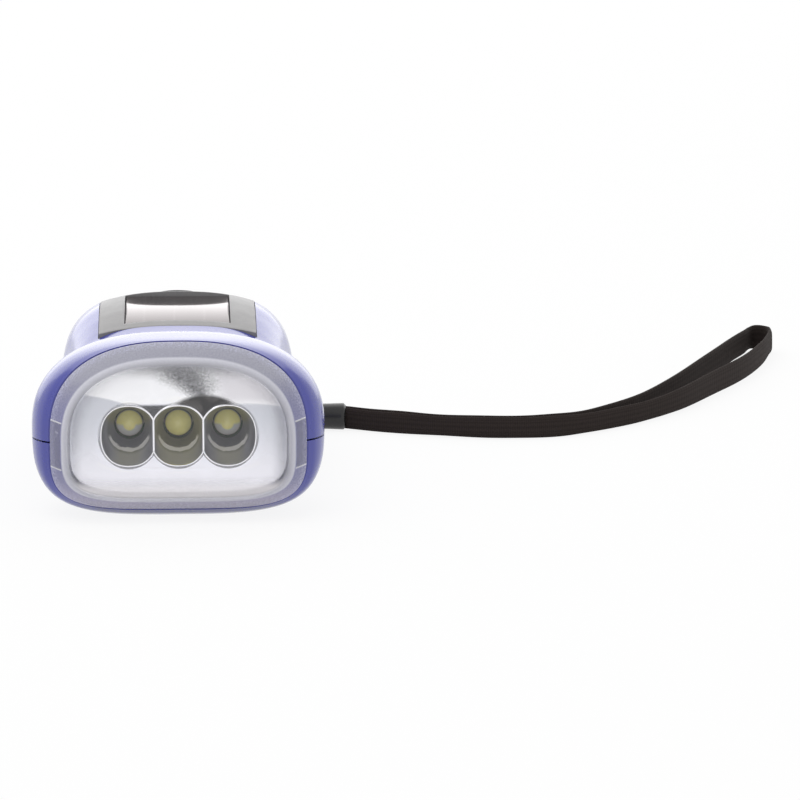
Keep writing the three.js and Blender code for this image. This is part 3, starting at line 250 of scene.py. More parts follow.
class Wire:
    """One output of a node. Python's operators and these methods add nodes to it."""

    def __init__(self, nodes, socket):
        self.nodes = nodes
        self.socket = socket

    __add__ = __radd__ = maths("ADD")
    __sub__ = maths("SUBTRACT")
    __rsub__ = maths("SUBTRACT", swapped=True)
    __mul__ = __rmul__ = maths("MULTIPLY")
    __truediv__ = maths("DIVIDE")
    __gt__ = maths("GREATER_THAN")
    wave = maths("SINE")
    root = maths("SQRT")
    round = maths("ROUND")
    size = maths("ABSOLUTE")
    least = maths("MINIMUM")
    most = maths("MAXIMUM")

    def off(self, other):
        """The distance of the point (this, other) from (0, 0)."""
        return (self * self + other * other).root()

    def within(self, low, high):
        """Rises smoothly from 0 at one value to 1 at another."""
        settings = {"interpolation_type": "SMOOTHSTEP"}
        return self.nodes.node("ShaderNodeMapRange", settings, {0: self, 1: low, 2: high})


# %% [markdown]
# One method adds any other kind of node. A finish is a material with one shader: what is the same all
# over a piece is set on the shader, and only what changes over its surface comes from nodes.

# %% A node tree and a finish
class Nodes:
    """A node tree."""

    def __init__(self, tree):
        self.tree = tree

    def plug(self, socket, value):
        """Links a wire to a socket, or sets the socket to a plain value."""
        if isinstance(value, Wire):
            self.tree.links.new(value.socket, socket)
        elif isinstance(value, tuple) and socket.type == "RGBA":
            socket.default_value = (*value, 1)
        else:
            socket.default_value = value

    def node(self, kind, settings=None, sockets=None, out=0):
        """Adds a node, sets it and its sockets, and gives one of its outputs."""
        node = self.tree.nodes.new(kind)
        for key, value in (settings or {}).items():
            setattr(node, key, value)
        for key, value in (sockets or {}).items():
            self.plug(node.inputs[key], value)
        return Wire(self, node.outputs[out])

    def direct(self):
        """1 for rays of the camera, mirrored or through clear plastic too, and 0 for other light."""
        rays = ("Is Camera Ray", "Is Glossy Ray", "Is Transmission Ray")
        camera, glossy, through = (self.node("ShaderNodeLightPath", out=ray) for ray in rays)
        return camera.most(glossy.most(through))


class Finish(Nodes):
    """A material with one Principled shader. Plain values are set on the shader's own sockets."""

    def __init__(self, name, **values):
        self.material = bpy.data.materials.new(name)
        self.material.use_nodes = True
        super().__init__(self.material.node_tree)
        self.shader = self.tree.nodes["Principled BSDF"]
        for key, value in values.items():
            self.set(key.replace("_", " ").title().replace("Ior", "IOR"), value)

    def set(self, socket, value):
        self.plug(self.shader.inputs[socket], value)

    def place(self, axis=None):
        """The point on the piece, or one of its coordinates, in metres."""
        point = self.node("ShaderNodeTexCoord", out="Object")
        if axis is None:
            return point
        return self.node("ShaderNodeSeparateXYZ", sockets={0: point}, out=axis)

    def noise(self, size, detail=3, roughness=0.5):
        """Soft noise whose blots have a size in millimetres."""
        sockets = {"Vector": self.place(), "Scale": 1 / (size * MM), "Detail": detail}
        return self.node("ShaderNodeTexNoise", sockets={**sockets, "Roughness": roughness})

    def mix(self, share, first, second):
        """A colour between two, by a share."""
        sockets = {"Factor": share, 6: first, 7: second}
        return self.node("ShaderNodeMix", {"data_type": "RGBA"}, sockets, out=2)

    def painted(self, colour, *layers):
        """Lays more colours over one, each by its own share, the last on top."""
        for share, layer in layers:
            colour = self.mix(share, colour, layer)
        return colour

    def over(self, share):
        """Lays a second Principled shader over the first by a share, and gives it."""
        second = self.tree.nodes.new("ShaderNodeBsdfPrincipled")
        blend = self.tree.nodes.new("ShaderNodeMixShader")
        self.plug(blend.inputs[0], share)
        self.tree.links.new(self.shader.outputs[0], blend.inputs[1])
        self.tree.links.new(second.outputs[0], blend.inputs[2])
        self.tree.links.new(blend.outputs[0], self.tree.nodes["Material Output"].inputs[0])
        return second

    def bump(self, height, depth):
        """Turns heights from 0 to 1 into a relief of a depth in millimetres."""
        sockets = {"Height": height, "Distance": depth * MM, "Strength": 1.0}
        self.set("Normal", self.node("ShaderNodeBump", sockets=sockets))


# %% [markdown]
# ## The moulded plastics
# The housing is a glossy blue. Seen at a low angle it mirrors the white studio, which is why its top
# looks almost white. A little noise in colour and gloss keeps it from looking like a flat paint, and a
# faint ripple is what moulded plastic has. The dark plastics are duller, with a fine grain.

# %% Blue, black and grey plastics
blue = Finish("blue_plastic", ior=1.5, coat_weight=0.8, coat_roughness=0.14, coat_ior=1.5)
blue_cloud = blue.noise(22, detail=2)
blue.set("Base Color", blue.mix(blue_cloud, (0.021, 0.029, 0.3), (0.026, 0.035, 0.35)))
blue.set("Roughness", 0.24 + 0.07 * blue.noise(6, detail=5))
blue.bump(blue.noise(2.6, detail=2), 0.005)


def grained(name, dark, light, roughness, grain=0.35, depth=0.01, **values):
    """A plastic with a fine moulded grain."""
    finish = Finish(name, **values)
    speckle = finish.noise(grain, detail=4, roughness=0.65)
    finish.set("Base Color", finish.mix(speckle, dark, light))
    finish.set("Roughness", roughness - 0.08 + 0.16 * finish.noise(2.2, detail=3))
    finish.bump(speckle, depth)
    return finish


bezel_plastic = grained("bezel_plastic", (0.18, 0.175, 0.177), (0.26, 0.253, 0.256), 0.34, ior=1.5)
black_plastic = grained("black_plastic", (0.008, 0.008, 0.009), (0.02, 0.02, 0.022), 0.45)
gear_plastic = grained("gear_plastic", (0.66, 0.65, 0.58), (0.76, 0.75, 0.68), 0.42)
red_plastic = grained("red_plastic", (0.42, 0.02, 0.018), (0.5, 0.03, 0.025), 0.38)
rubber = grained("black_rubber", (0.006, 0.006, 0.006), (0.013, 0.012, 0.012), 0.3, grain=0.8)

# %% [markdown]
# ## Clear lens
# The lens cap is clear where the light leaves it and frosted on its bevelled edge. The frost could be a
# second piece, but the cap is one moulding, so an attribute on its mesh says where a milky shader lies
# over the clear one. The frost is bluish at the sides. It is painted paler below and white along the
# bottom front edge, as a painted reflection of the white floor, and whitest near the front, as a painted
# highlight on the rounded edge. Two fine lines show the edges of a snap tab on each side.

# %% Lens finish
PARTING = 14
TAB_HALF = 4.2

clear = Finish("clear_plastic", ior=1.46, transmission_weight=1.0, roughness=0.02)
clear.set("Base Color", (0.985, 0.985, 1.0))
frost = clear.node("ShaderNodeAttribute", {"attribute_name": "frost"}, out="Fac")
behind = clear.place("Y") / MM - FRONT
level = clear.place("Z") / MM
beside_tab = (level - PARTING).size() - TAB_HALF
bevel_side = behind.within(1.4, 1.8) * clear.place("X").size().within(18 * MM, 19 * MM)
tab = (1 - beside_tab.within(-0.1, 0.1)) * bevel_side
tab_line = (1 - beside_tab.size().within(0.08, 0.2)) * bevel_side
speckle = clear.noise(0.3, detail=4, roughness=0.7).within(0.45, 0.68)
low_edge_reflection = (0 - level).within(-9, -6.3) * (1 - behind.within(0.5, 0.75))
# Painted reflection of the floor below and along the bottom front edge, and a painted highlight near the
# front.
frost_and_painted_light = clear.painted(
    (0.23, 0.23, 0.42),
    ((0 - level).within(-9, -2), (0.47, 0.43, 0.6)),
    (level.within(19, 28), (0.35, 0.35, 0.43)),
    (speckle * behind.within(3.2, 4.8), (0.5, 0.5, 0.68)),
    (1 - behind.within(1.1, 1.6), (0.74, 0.74, 0.82)),
    (tab_line, (0.8, 0.8, 0.86)),
    (low_edge_reflection, (1.0, 0.97, 1.0)),
)
milky = clear.over((frost * (1 - 0.35 * tab)).most(0.75 * low_edge_reflection))
clear.plug(milky.inputs["Base Color"], frost_and_painted_light)
clear.plug(milky.inputs["Roughness"], 0.25 + 0.2 * speckle)

# %% [markdown]
# ## The mirror
# The reflector is plastic with a thin coat of aluminium. A whole room could be built for it to mirror,
# but it would show in the glossy shell too. So its reflections are painted on the bowl, as colours that
# stay in their place: a white streak over the cups, a paler part on the right, grey at both sides, a
# dark ragged lobe under a dark brow, a black patch by the right cup that reaches between the cups'
# tops, and pale ground below. The cell below says where each of them lies, counted in millimetres from
# the middle of the cups.

# %% Places of the reflections
CUP_FACE = 5.1
CUP_DEPTH = 11.7
CUP_SPACING = 8.85
CUP_HEIGHT = 15.3
CUP_HALF = 4.85
CUP_RISE = 5.35
BLACK = (0.0, 0.0, 0.0)

mirror = Finish("mirror_coat", metallic=1.0)
sunk = mirror.place("Y") / MM - FRONT
aside = mirror.place("X") / MM
rise = mirror.place("Z") / MM - CUP_HEIGHT
grain = mirror.noise(0.45, detail=5, roughness=0.7)


def blot(middle, reach, soft):
    """An oval blot on the bowl: 1 in its middle, 0 outside."""
    across = (aside - middle[0]) / reach[0]
    return 1 - across.off((rise - middle[1]) / reach[1]).within(soft, 1.0)


above_streak = (rise - 0.3 * (0 - aside - 9).most(0)).within(5.4, 5.9)
right_part = aside.within(5, 9) * rise.within(5, 7)
edge_zone = aside.within(16.2, 19.6) * 0.7 + (0 - aside).within(16.8, 19.6) * 0.3
fleck = 1.8 * (mirror.noise(0.3, detail=4, roughness=0.7) - 0.5)
lobe_middle = aside - 0.7 - (12 - rise) * 0.68
lobe = 1 - (lobe_middle.size() / ((rise - 6).most(0.1) * 0.85 + 1) + fleck).within(0.1, 1.6)
brow = blot((1.5, 16.8), (24, 7.4), 0.45)
patch = blot((4.7, 4.6), (6.3, 3.0), 0.75)
between = (1 - rise.within(5.2, 5.7)) * rise.within(1.5, 3) * (1 - aside.size().within(8.5, 11.5))

# %% [markdown]
# Each cup has a raised rim, painted bright as a highlight, with a painted shadow line round it that is
# stronger below. Inside, its walls are duller than the bowl and painted darker in their upper half and
# deep in the cup, as shade. An arc low down is painted pale and glows faintly: painted light that stands
# for what the cup gathers. Noise makes its edges ragged.

# %% Places round the cups
nearest = (aside / CUP_SPACING).round().least(1).most(-1) * CUP_SPACING
from_cup = ((aside - nearest) / CUP_HALF).off(rise / CUP_RISE)
# The dark line round each rim is painted shadow, and the rim itself gets a painted highlight.
outline = from_cup.within(1.06, 1.085) * (1 - from_cup.within(1.11, 1.15))
rim_highlight = (1 - from_cup.within(1.09, 1.11)) * (1 - sunk.within(CUP_FACE - 0.12, CUP_FACE - 0.02))
in_cup = sunk.within(CUP_FACE + 0.02, CUP_FACE + 0.3) * (1 - from_cup.within(1.04, 1.06))
ragged = sunk + 1.2 * (mirror.noise(1.1, detail=2) - 0.5)
painted_arc_glow = ragged.within(11.7, 12.1) * (1 - ragged.within(13.2, 13.7)) * (0 - rise).within(1.0, 2.0)

# %% [markdown]
# The painted reflections, highlights and shade are laid over each other like coats of paint, each by its
# own share, and the cups' walls replace the bowl where the surface is sunk. The walls are also rougher
# and less metallic than the bowl.

# %% Mirror colours
streaks = mirror.mix(grain.within(0.35, 0.65), (0.07, 0.07, 0.075), (0.26, 0.26, 0.27))
cloud = mirror.noise(1.6, detail=2).within(0.5, 0.62)
bowl = mirror.painted(
    (0.63, 0.645, 0.69),
    ((0 - rise).within(-4, 9), (0.92, 0.91, 0.95)),
    (above_streak, (1.0, 1.0, 1.0)),
    (right_part, (0.8, 0.78, 0.8)),
    (edge_zone, (0.42, 0.42, 0.46)),
    ((lobe * rise.within(5.8, 7.5)).most(brow) * 0.95, streaks),
    (patch.most(between * 0.9), mirror.mix(cloud, (0.012, 0.011, 0.012), (0.07, 0.064, 0.062))),
    # Painted shadow line round the rims, stronger below, then the rims' painted highlight.
    (outline * (0.3 + 0.5 * (0 - rise).within(-1, 2)), (0.12, 0.12, 0.13)),
    (rim_highlight, (0.96, 0.96, 0.97)),
)
# Painted shade darkens the walls' upper half and their depths, and the arc is painted light.
painted_walls = mirror.painted(
    (0.62, 0.62, 0.7),
    (rise.within(-2, 3), (0.27, 0.28, 0.36)),
    (sunk.within(CUP_FACE + 5, CUP_FACE + 8), (0.15, 0.155, 0.2)),
    (painted_arc_glow, (0.8, 0.8, 0.85)),
)
mirror.set("Base Color", mirror.mix(in_cup, bowl, painted_walls))
mirror.set("Roughness", 0.05 + 0.08 * grain + 0.2 * in_cup)
mirror.set("Metallic", 1 - in_cup * (0.5 + 0.35 * painted_arc_glow))
# The arc's faint emission is painted light; the cup is no lamp.
mirror.set("Emission Color", mirror.mix(painted_arc_glow * in_cup, BLACK, (1.0, 0.96, 0.84)))
mirror.set("Emission Strength", 0.12)
mirror.bump(mirror.noise(0.6, detail=2), 0.002)

# %% [markdown]
# ## Diodes, solar cell and metals
# A white diode is clear resin over yellow phosphor: the dome shows a yellow disc with a darker rim, and
# a grey crescent low in the outer two, where the dome shows the metal cup that holds the chip. The
# parts inside the dome could be modelled, but only their colours show, so they are painted by the
# distance from the diode's axis. Inside its rim the dome also glows faintly, as painted light for what
# its lens gathers, though the diode is off.

# %% Diode finish
resin = Finish("diode_resin", roughness=0.06, ior=1.54, coat_weight=0.6, coat_roughness=0.03)
across = resin.place("X") / MM
height = resin.place("Z") / MM - CUP_HEIGHT
beside = across - (across / CUP_SPACING).round() * CUP_SPACING
radius = beside.off(height)
rim = radius.within(2.25, 2.45)
outer = (across * across).within(15, 25)
crescent = radius.within(0.9, 1.3) * (0 - height).within(-0.2, 0.4) * (1 - rim) * outer
phosphor = resin.mix(resin.noise(0.6, detail=3), (0.82, 0.75, 0.22), (0.95, 0.87, 0.3))
disc_and_painted_glow = resin.painted(phosphor, (crescent, (0.6, 0.6, 0.56)), (rim, (0.42, 0.42, 0.4)))
resin.set("Base Color", disc_and_painted_glow)
# A faint emission outside the rim is painted light; the diode is off.
resin.set("Emission Color", resin.mix(rim, disc_and_painted_glow, BLACK))
resin.set("Emission Strength", 0.17)

# %% [markdown]
# The solar cell is dark brown film in strips under clear resin, which a coat on the shader stands for.
# A sine wave across the cell leaves a fine line at each strip's edge. The circuit boards are green
# plastic, and the metals inside only need their grain.

# %% Cell, board and metal finishes
STRIP = 5.6
STRIP_SHIFT = 30
solar = Finish("solar_film", ior=1.55, coat_weight=1.0, coat_roughness=0.06, coat_ior=1.5)
solar.set("Coat Tint", (1.0, 0.93, 0.935))
strip_line = ((solar.place("X") / MM + STRIP_SHIFT) * (2 * math.pi / STRIP)).wave() > 0.985
film = solar.mix(solar.noise(5, detail=3), (0.012, 0.008, 0.009), (0.022, 0.014, 0.015))
solar.set("Base Color", solar.mix(strip_line, film, (0.075, 0.07, 0.072)))
solar.set("Roughness", 0.1 + 0.05 * solar.noise(1.5))

board = grained("solder_mask", (0.012, 0.09, 0.035), (0.02, 0.13, 0.05), 0.35)


def metal(name, dark, light, roughness, grain=0.25):
    """A metal with a fine drawn grain and small changes in gloss."""
    finish = Finish(name, metallic=1.0)
    finish.set("Base Color", finish.mix(finish.noise(grain, detail=4), dark, light))
    finish.set("Roughness", roughness + 0.15 * finish.noise(1.2, detail=4))
    finish.bump(finish.noise(grain, detail=2), 0.004)
    return finish


steel = metal("bright_steel", (0.55, 0.56, 0.57), (0.68, 0.69, 0.7), 0.18)
brass = metal("turned_brass", (0.62, 0.45, 0.18), (0.75, 0.57, 0.26), 0.2)
copper = metal("enamelled_copper", (0.6, 0.25, 0.1), (0.72, 0.34, 0.15), 0.22)
magnet = metal("sintered_magnet", (0.1, 0.1, 0.105), (0.17, 0.17, 0.175), 0.45)

# %% [markdown]
# ## The woven strap
# The strap is a soft black nylon tape. Its ribs are half a millimetre wide, too fine to model, so two
# sine waves that cross make a bump. They are read from the tape's own UV map, and so follow each bend.

# %% Woven nylon
TAPE_LENGTH = 310
TAPE_TURN = 10.4
THREAD_LENGTH = 34
THREAD_TURN = 3.4
RIB = 0.55


def woven(name, length, turn):
    """Black nylon whose ribs follow the piece's UV map: U goes round it and V along it."""
    finish = Finish(name, ior=1.5, specular_ior_level=0.12)
    uv = finish.node("ShaderNodeUVMap")
    across = finish.node("ShaderNodeSeparateXYZ", sockets={0: uv}, out="X") * (turn / RIB)
    along = finish.node("ShaderNodeSeparateXYZ", sockets={0: uv}, out="Y") * (length / RIB)
    one = ((across + along) * math.pi).wave()
    other = ((across - along) * math.pi).wave()
    weave = (one * other) * 0.5 + 0.5
    fuzz = finish.noise(0.12, detail=5, roughness=0.7)
    finish.set("Base Color", finish.mix(weave, (0.022, 0.017, 0.0155), (0.037, 0.0285, 0.026)))
    finish.set("Roughness", 0.72 + 0.2 * fuzz)
    finish.bump(weave * 0.8 + fuzz * 0.4, 0.035)
    return finish


nylon = woven("black_nylon_tape", TAPE_LENGTH, TAPE_TURN)
thread = woven("black_nylon_thread", THREAD_LENGTH, THREAD_TURN)

# %% [markdown]
# The record gives every node a slot, such as steel or blue_shell. One table says which finish each slot
# gets, so that the new pieces and the nodes that stay as they are match.

# %% Finish of each slot
finishes = {
    "blue_shell": blue,
    "clear_lens": clear,
    "chrome_mirror": mirror,
    "led_resin": resin,
    "circuit_board": board,
    "bezel_plastic": bezel_plastic,
    "solar_glass": solar,
    "steel": steel,
    "brass": brass,
    "gear_plastic": gear_plastic,
    "black_plastic": black_plastic,
    "magnet": magnet,
    "copper_wire": copper,
    "red_plastic": red_plastic,
    "strap_fabric": nylon,
    "strap_rubber": rubber,
}
print(len(finishes), "slots have a finish")

# %% [markdown]
# ## The wrist strap
# The strap is one tape that leaves a rubber sleeve, makes a narrow loop on the table and comes back.
# A thin string goes from the sleeve round a pin in the housing. Both could be curves with a bevel, but
# a mesh that is carried along points keeps its own UV map and can thin and lean as it goes. The points
# are those of the CAD solids, apart from a rounder end of the loop.

# %% Routes of the tape and the string
TAPE_HEIGHT = 2.2
TAPE_STEPS = 18
STRING_STEPS = 10
tape_points = [
    (31.4, 88.6, 2.65), (33.4, 88.05, 2.45), (38, 86.2), (44, 83.4), (50, 80.8), (56.6, 78.9),
    (63, 77.9), (69.6, 78), (75.4, 79.6), (80, 82.1), (85.9, 87.1), (92.9, 94.3), (100.6, 104.8, 2.45),
    (109.2, 120.9, 2.75), (118.2, 139.4, 2.85), (124.3, 156.6, 2.85), (127.1, 167.5, 2.85),
    (128.2, 172.6, 2.85), (128.1, 175.4, 2.85), (126.9, 177.1, 2.85), (125.2, 177.2, 2.85),
    (124, 175.7, 2.85), (122.3, 171, 2.85), (119.2, 163.4, 2.85), (111, 142.5, 2.75),
    (101.7, 120.5, 2.45), (92.3, 102.2), (84.9, 91), (79.4, 84.8), (74.8, 81.8), (69.4, 80), (63, 79.8),
    (56.7, 80.7), (50.5, 82.6), (44.6, 85.3), (38.7, 88), (33.6, 89.8, 2.45), (31.4, 89.55, 2.65),
]
string_points = [
    (22.7, 89, 3), (21.6, 89.2, 3.8), (20.4, 90.3, 6.4), (18.8, 91.4, 9.7), (16.8, 91.3, 10.9),
    (15.2, 91, 11), (13.9, 91.6, 11), (13.6, 92.6, 11), (13.9, 93.6, 11), (15.2, 94.2, 11),
    (16.8, 93.9, 10.9), (18.8, 93.1, 9.7), (20.4, 92, 6.4), (21.6, 90.9, 3.8), (22.7, 90.6, 3),
]
print(len(tape_points), "points on the tape,", len(string_points), "on the string")

# %% [markdown]
# A smooth curve joins the points. Its slope at a point comes from the gaps on both sides, by their
# square roots, so that it makes no loop where the points lie close together.

# %% Curves through the points
def along_route(points, steps):
    """Points on a smooth curve through a route, each span cut into steps."""
    points = [Vector((x, FRONT + place, *(z or [TAPE_HEIGHT]))) for x, place, *z in points]
    points = [2 * points[0] - points[1], *points, 2 * points[-1] - points[-2]]
    curve = []
    for before, start, end, after in zip(points, points[1:], points[2:], points[3:]):
        gaps = [(b - a).length ** 0.5 for a, b in ((before, start), (start, end), (end, after))]
        leave = (start - before) / gaps[0] - (end - before) / (gaps[0] + gaps[1]) + (end - start) / gaps[1]
        reach = (end - start) / gaps[1] - (after - start) / (gaps[1] + gaps[2]) + (after - end) / gaps[2]
        leave, reach = leave * gaps[1], reach * gaps[1]
        for i in range(steps):
            t = i / steps
            bend = (2 * t**3 - 3 * t**2 + 1) * start + (t**3 - 2 * t**2 + t) * leave
            curve.append(bend + (-2 * t**3 + 3 * t**2) * end + (t**3 - t**2) * reach)
    return [*curve, points[-2]]


def length_of(points):
    return sum((b - a).length for a, b in zip(points, points[1:]))


tape_line = along_route(tape_points, TAPE_STEPS)
string_line = along_route(string_points, STRING_STEPS)
print("tape", round(length_of(tape_line)), "mm, string", round(length_of(string_line)), "mm")

# %% [markdown]
# The tape stands on its edge. Its section is a flat oval with a thicker rim on both edges, where the
# weave turns back. The outline is carried along the route, upright and square to it. The tape is
# pinched at its ends, in the sleeve, and a little wider round its loop.

# %% Tape and string
TAPE_WIDTH = 4.05
TAPE_THICK = 1.0
TAPE_RIM = 0.16
PINCH = 0.82
PINCH_FADE = 60
LOOP_EXTRA = 1.05
LOOP_HALF = 0.2
LOOP_FADE = 0.07
STRING_WIDTH = 1.1


def carried(line, section):
    """Rows of section points (side, up) set square to a line."""
    rows = []
    for i, point in enumerate(line):
        onward = (line[min(i + 1, len(line) - 1)] - line[max(i - 1, 0)]).normalized()
        side = onward.cross(Vector((0, 0, 1))).normalized()
        up = side.cross(onward)
        rows.append([point + side * a + up * b for a, b in section(i / (len(line) - 1))])
    return rows


def tape_section(share):
    """A flat oval with rims. It is a little thinner and wavier here and there, as soft tape is."""
    soft = 1 + 0.03 * math.sin(41 * share) + 0.02 * math.sin(97 * share)
    lean = 0.22 * math.sin(23 * share) + 0.12 * math.sin(61 * share)
    width = TAPE_WIDTH * (PINCH + (1 - PINCH) * min(PINCH_FADE * min(share, 1 - share), 1))
    width += LOOP_EXTRA * clamped((LOOP_HALF - abs(share - 0.5)) / LOOP_FADE)
    points = []
    for turn in turns(28):
        up = math.sin(turn) * abs(math.sin(turn)) ** -0.35 if math.sin(turn) else 0.0
        side = math.cos(turn) * (1 + TAPE_RIM * (1 - math.cos(6 * turn)) / 2 * abs(math.sin(turn)))
        points.append((side * TAPE_THICK / 2 * soft + lean * up * 0.35, up * width / 2 * soft))
    return points


def string_section(share):
    """A round string with two lobes that twist along it."""
    points = []
    for turn in turns(16):
        radius = STRING_WIDTH / 2 * (0.92 + 0.08 * math.cos(2 * turn + 60 * share))
        points.append((radius * math.cos(turn), radius * math.sin(turn)))
    return points


tape = rolled("wrist_tape", carried(tape_line, tape_section))
string = rolled("wrist_string", carried(string_line, string_section))
attached(tape, 60, "housing", "strap_fabric", "strap_tape")
attached(string, 60, "housing", "strap_fabric", "strap_string", thread)

# %% [markdown]
# The sleeve is a short rubber tube, pressed over both ends of the tape and the string. Its ends are
# rounded, its middle is drawn in a little, and the end towards the tape is hollow. It is carried along
# its own short line like the tape.

# %% Rubber sleeve
SLEEVE_START = Vector((23, FRONT + 89.6, 2.7))
SLEEVE_END = Vector((33, FRONT + 88.9, 2.7))
SLEEVE_RADIUS = 2.62
SLEEVE_ROUND = 0.45
SLEEVE_WAIST = 0.12
SLEEVE_BORE = 2.1
sleeve_line = [SLEEVE_START.lerp(SLEEVE_END, i / 24) for i in range(25)]
sleeve_length = (SLEEVE_END - SLEEVE_START).length


def sleeve_section(share):
    """A circle whose radius follows the sleeve's rounded ends and drawn-in middle."""
    inset = max(SLEEVE_ROUND - share * sleeve_length, SLEEVE_ROUND - (1 - share) * sleeve_length, 0)
    radius = SLEEVE_RADIUS - SLEEVE_ROUND + math.sqrt(SLEEVE_ROUND**2 - inset**2)
    return circle(radius - SLEEVE_WAIST * math.sin(math.pi * share) ** 2, 48)


sleeve = rolled("wrist_sleeve", carried(sleeve_line, sleeve_section))
bore_line = [SLEEVE_END.lerp(SLEEVE_START, share) for share in (-0.1, 0.05, 0.2)]
carved(sleeve, rolled("bore", carried(bore_line, lambda share: circle(SLEEVE_BORE, 48))))
attached(sleeve, 50, "housing", "strap_rubber", "strap_sleeve")

# %% [markdown]
# ## The outlines of the body
# Seen along its length, every outline of the body is a rounded box: wide at the lens, drawn in at the
# neck, wide again at the solar panel and narrow at the tail. It could be sculpted by eye. Five main
# outlines are named instead, and a table of shares says how far the skin has gone from one to the
# next, the same as in the CAD model, so that the pieces inside still fit.

# %% Outlines
# Each main outline: place, half width, height of the widest line, top, bottom, and how square its upper
# and lower halves are.
mouth = (6, 23.2, 14.5, 32.25, 1.5, 2.5, 4)
cheek = (13, 26.3, 15.5, 32.4, -0.35, 2.45, 2.85)
neck = (28, 20.5, 14.5, 29.7, 1, 2.8, 3)
crest = (52, 21.8, 14.5, 32.9, 1, 3.1, 3.1)
tail = (104, 4, 14.5, 16.6, 10.5, 2.4, 2.4)
skin_shares = [
    (mouth, cheek, [(0, 0, 0, 0), (0.21, 0.45, 0.7, 0.5), (0.5, 0.8, 0.95, 0.83), (0.78, 0.97, 1, 0.97),
                    (1, 1, 1, 1)]),
    (cheek, neck, [(0.17, 0.04, 0.04, 0), (0.33, 0.19, 0.18, 0), (0.53, 0.47, 0.46, 0.5),
                   (0.73, 0.75, 0.76, 0.8), (1, 1, 1, 1)]),
    (neck, crest, [(0.21, 0.05, 0.14, 1), (0.42, 0.2, 0.46, 1), (0.7, 0.55, 0.82, 1), (1, 1, 1, 1)]),
    (crest, tail, [(0.115, 0, 0.012, 0.01), (0.27, 0.01, 0.09, 0.02), (0.44, 0.045, 0.2, 0.05),
                   (0.615, 0.11, 0.345, 0.1), (0.75, 0.2, 0.48, 0.22), (0.86, 0.33, 0.62, 0.4),
                   (0.94, 0.53, 0.77, 0.62), (0.985, 0.78, 0.91, 0.85), (1, 1, 1, 1)]),
]
print(sum(len(rows) for start, end, rows in skin_shares), "outlines along the body")

# %% [markdown]
# Between those outlines the skin has to be smooth, and mustn't bulge past them. A spline through the
# points could overshoot, so each measure gets a curve whose slopes are kept small enough not to.

# %% Curves along the body
def steady(places, values):
    """A smooth curve through values that never overshoots them, as a function of the place."""
    places, values = np.array(places, float), np.array(values, float)
    gaps = np.diff(places)
    rates = np.diff(values) / gaps
    slopes = np.zeros(len(values))
    for i in range(1, len(values) - 1):
        if rates[i - 1] * rates[i] > 0:
            weights = (2 * gaps[i] + gaps[i - 1], gaps[i] + 2 * gaps[i - 1])
            slopes[i] = sum(weights) / (weights[0] / rates[i - 1] + weights[1] / rates[i])
    slopes[0], slopes[-1] = rates[0], rates[-1]

    def value(place):
        i = int(np.clip(np.searchsorted(places, place) - 1, 0, len(gaps) - 1))
        t = (place - places[i]) / gaps[i]
        start = (1 + 2 * t) * (1 - t) ** 2 * values[i] + t * (1 - t) ** 2 * gaps[i] * slopes[i]
        return start + t * t * (3 - 2 * t) * values[i + 1] + t * t * (t - 1) * gaps[i] * slopes[i + 1]

    return value


stations = []
for start, end, rows in skin_shares:
    for along, width, top, bottom in rows:
        shares = (along, width, along, top, bottom, along, along)
        stations.append([a + (b - a) * share for a, b, share in zip(start, end, shares)])
station_places = [station[0] for station in stations]
curves = [steady(station_places, [station[i] for station in stations]) for i in range(1, 7)]


def outline_at(place):
    """Half width, middle, top, bottom and the two squarenesses of the skin at a place."""
    return [curve(place) for curve in curves]


def crown_at(place):
    return curves[2](place)


print(len(stations), "stations, crown over the solar cell", round(crown_at(50), 2), "mm")

# %% [markdown]
# One outline is a superellipse: an ellipse whose corners are pushed out by a power. Its points crowd
# at the corners, so many are made and then spread evenly along the line.

# %% One outline
def even(points, count):
    """Spreads count points evenly along a closed line of points."""
    points = np.array([*points, points[0]])
    steps = np.r_[0, np.cumsum(np.linalg.norm(np.diff(points, axis=0), axis=1))]
    wanted = np.linspace(0, steps[-1], count, endpoint=False)
    return np.stack([np.interp(wanted, steps, points[:, k]) for k in range(points.shape[1])], axis=1)


def rounded_box(outline, inset=0, count=144):
    """Points (x, z) of one outline, drawn in by an inset."""
    half, middle, top, bottom, upper, lower = outline
    points = []
    for turn in turns(720):
        across, up = math.cos(turn), math.sin(turn)
        power = 2 / (upper if up >= 0 else lower)
        reach = (top - middle if up >= 0 else middle - bottom) - inset
        across = math.copysign(abs(across) ** power, across)
        up = math.copysign(abs(up) ** power, up)
        points.append((across * (half - inset), middle + up * reach))
    return even(points, count)


def ring_at(place, outline, inset=0, count=144):
    return [(x, FRONT + place, z) for x, z in rounded_box(outline, inset, count)]


# %% [markdown]
# ## The housing
# Two shells meet at a parting line. Each could be a thin sheet with a Solidify modifier, but its wall
# meets posts and a flat belly, so it is cut as a solid: the whole skin loses its other half, then its
# hollow. The belly is cut flat for the crank, and the hollow stops one wall's thickness above it.

# %% Skin, hollow and halves
SEAT = 0.3
WALL = 1.8
BELLY = 7.5
BELLY_STEP = 19
FAR = 60
FINE = 6
COARSE = 2
TAIL_ROUND = 0.8


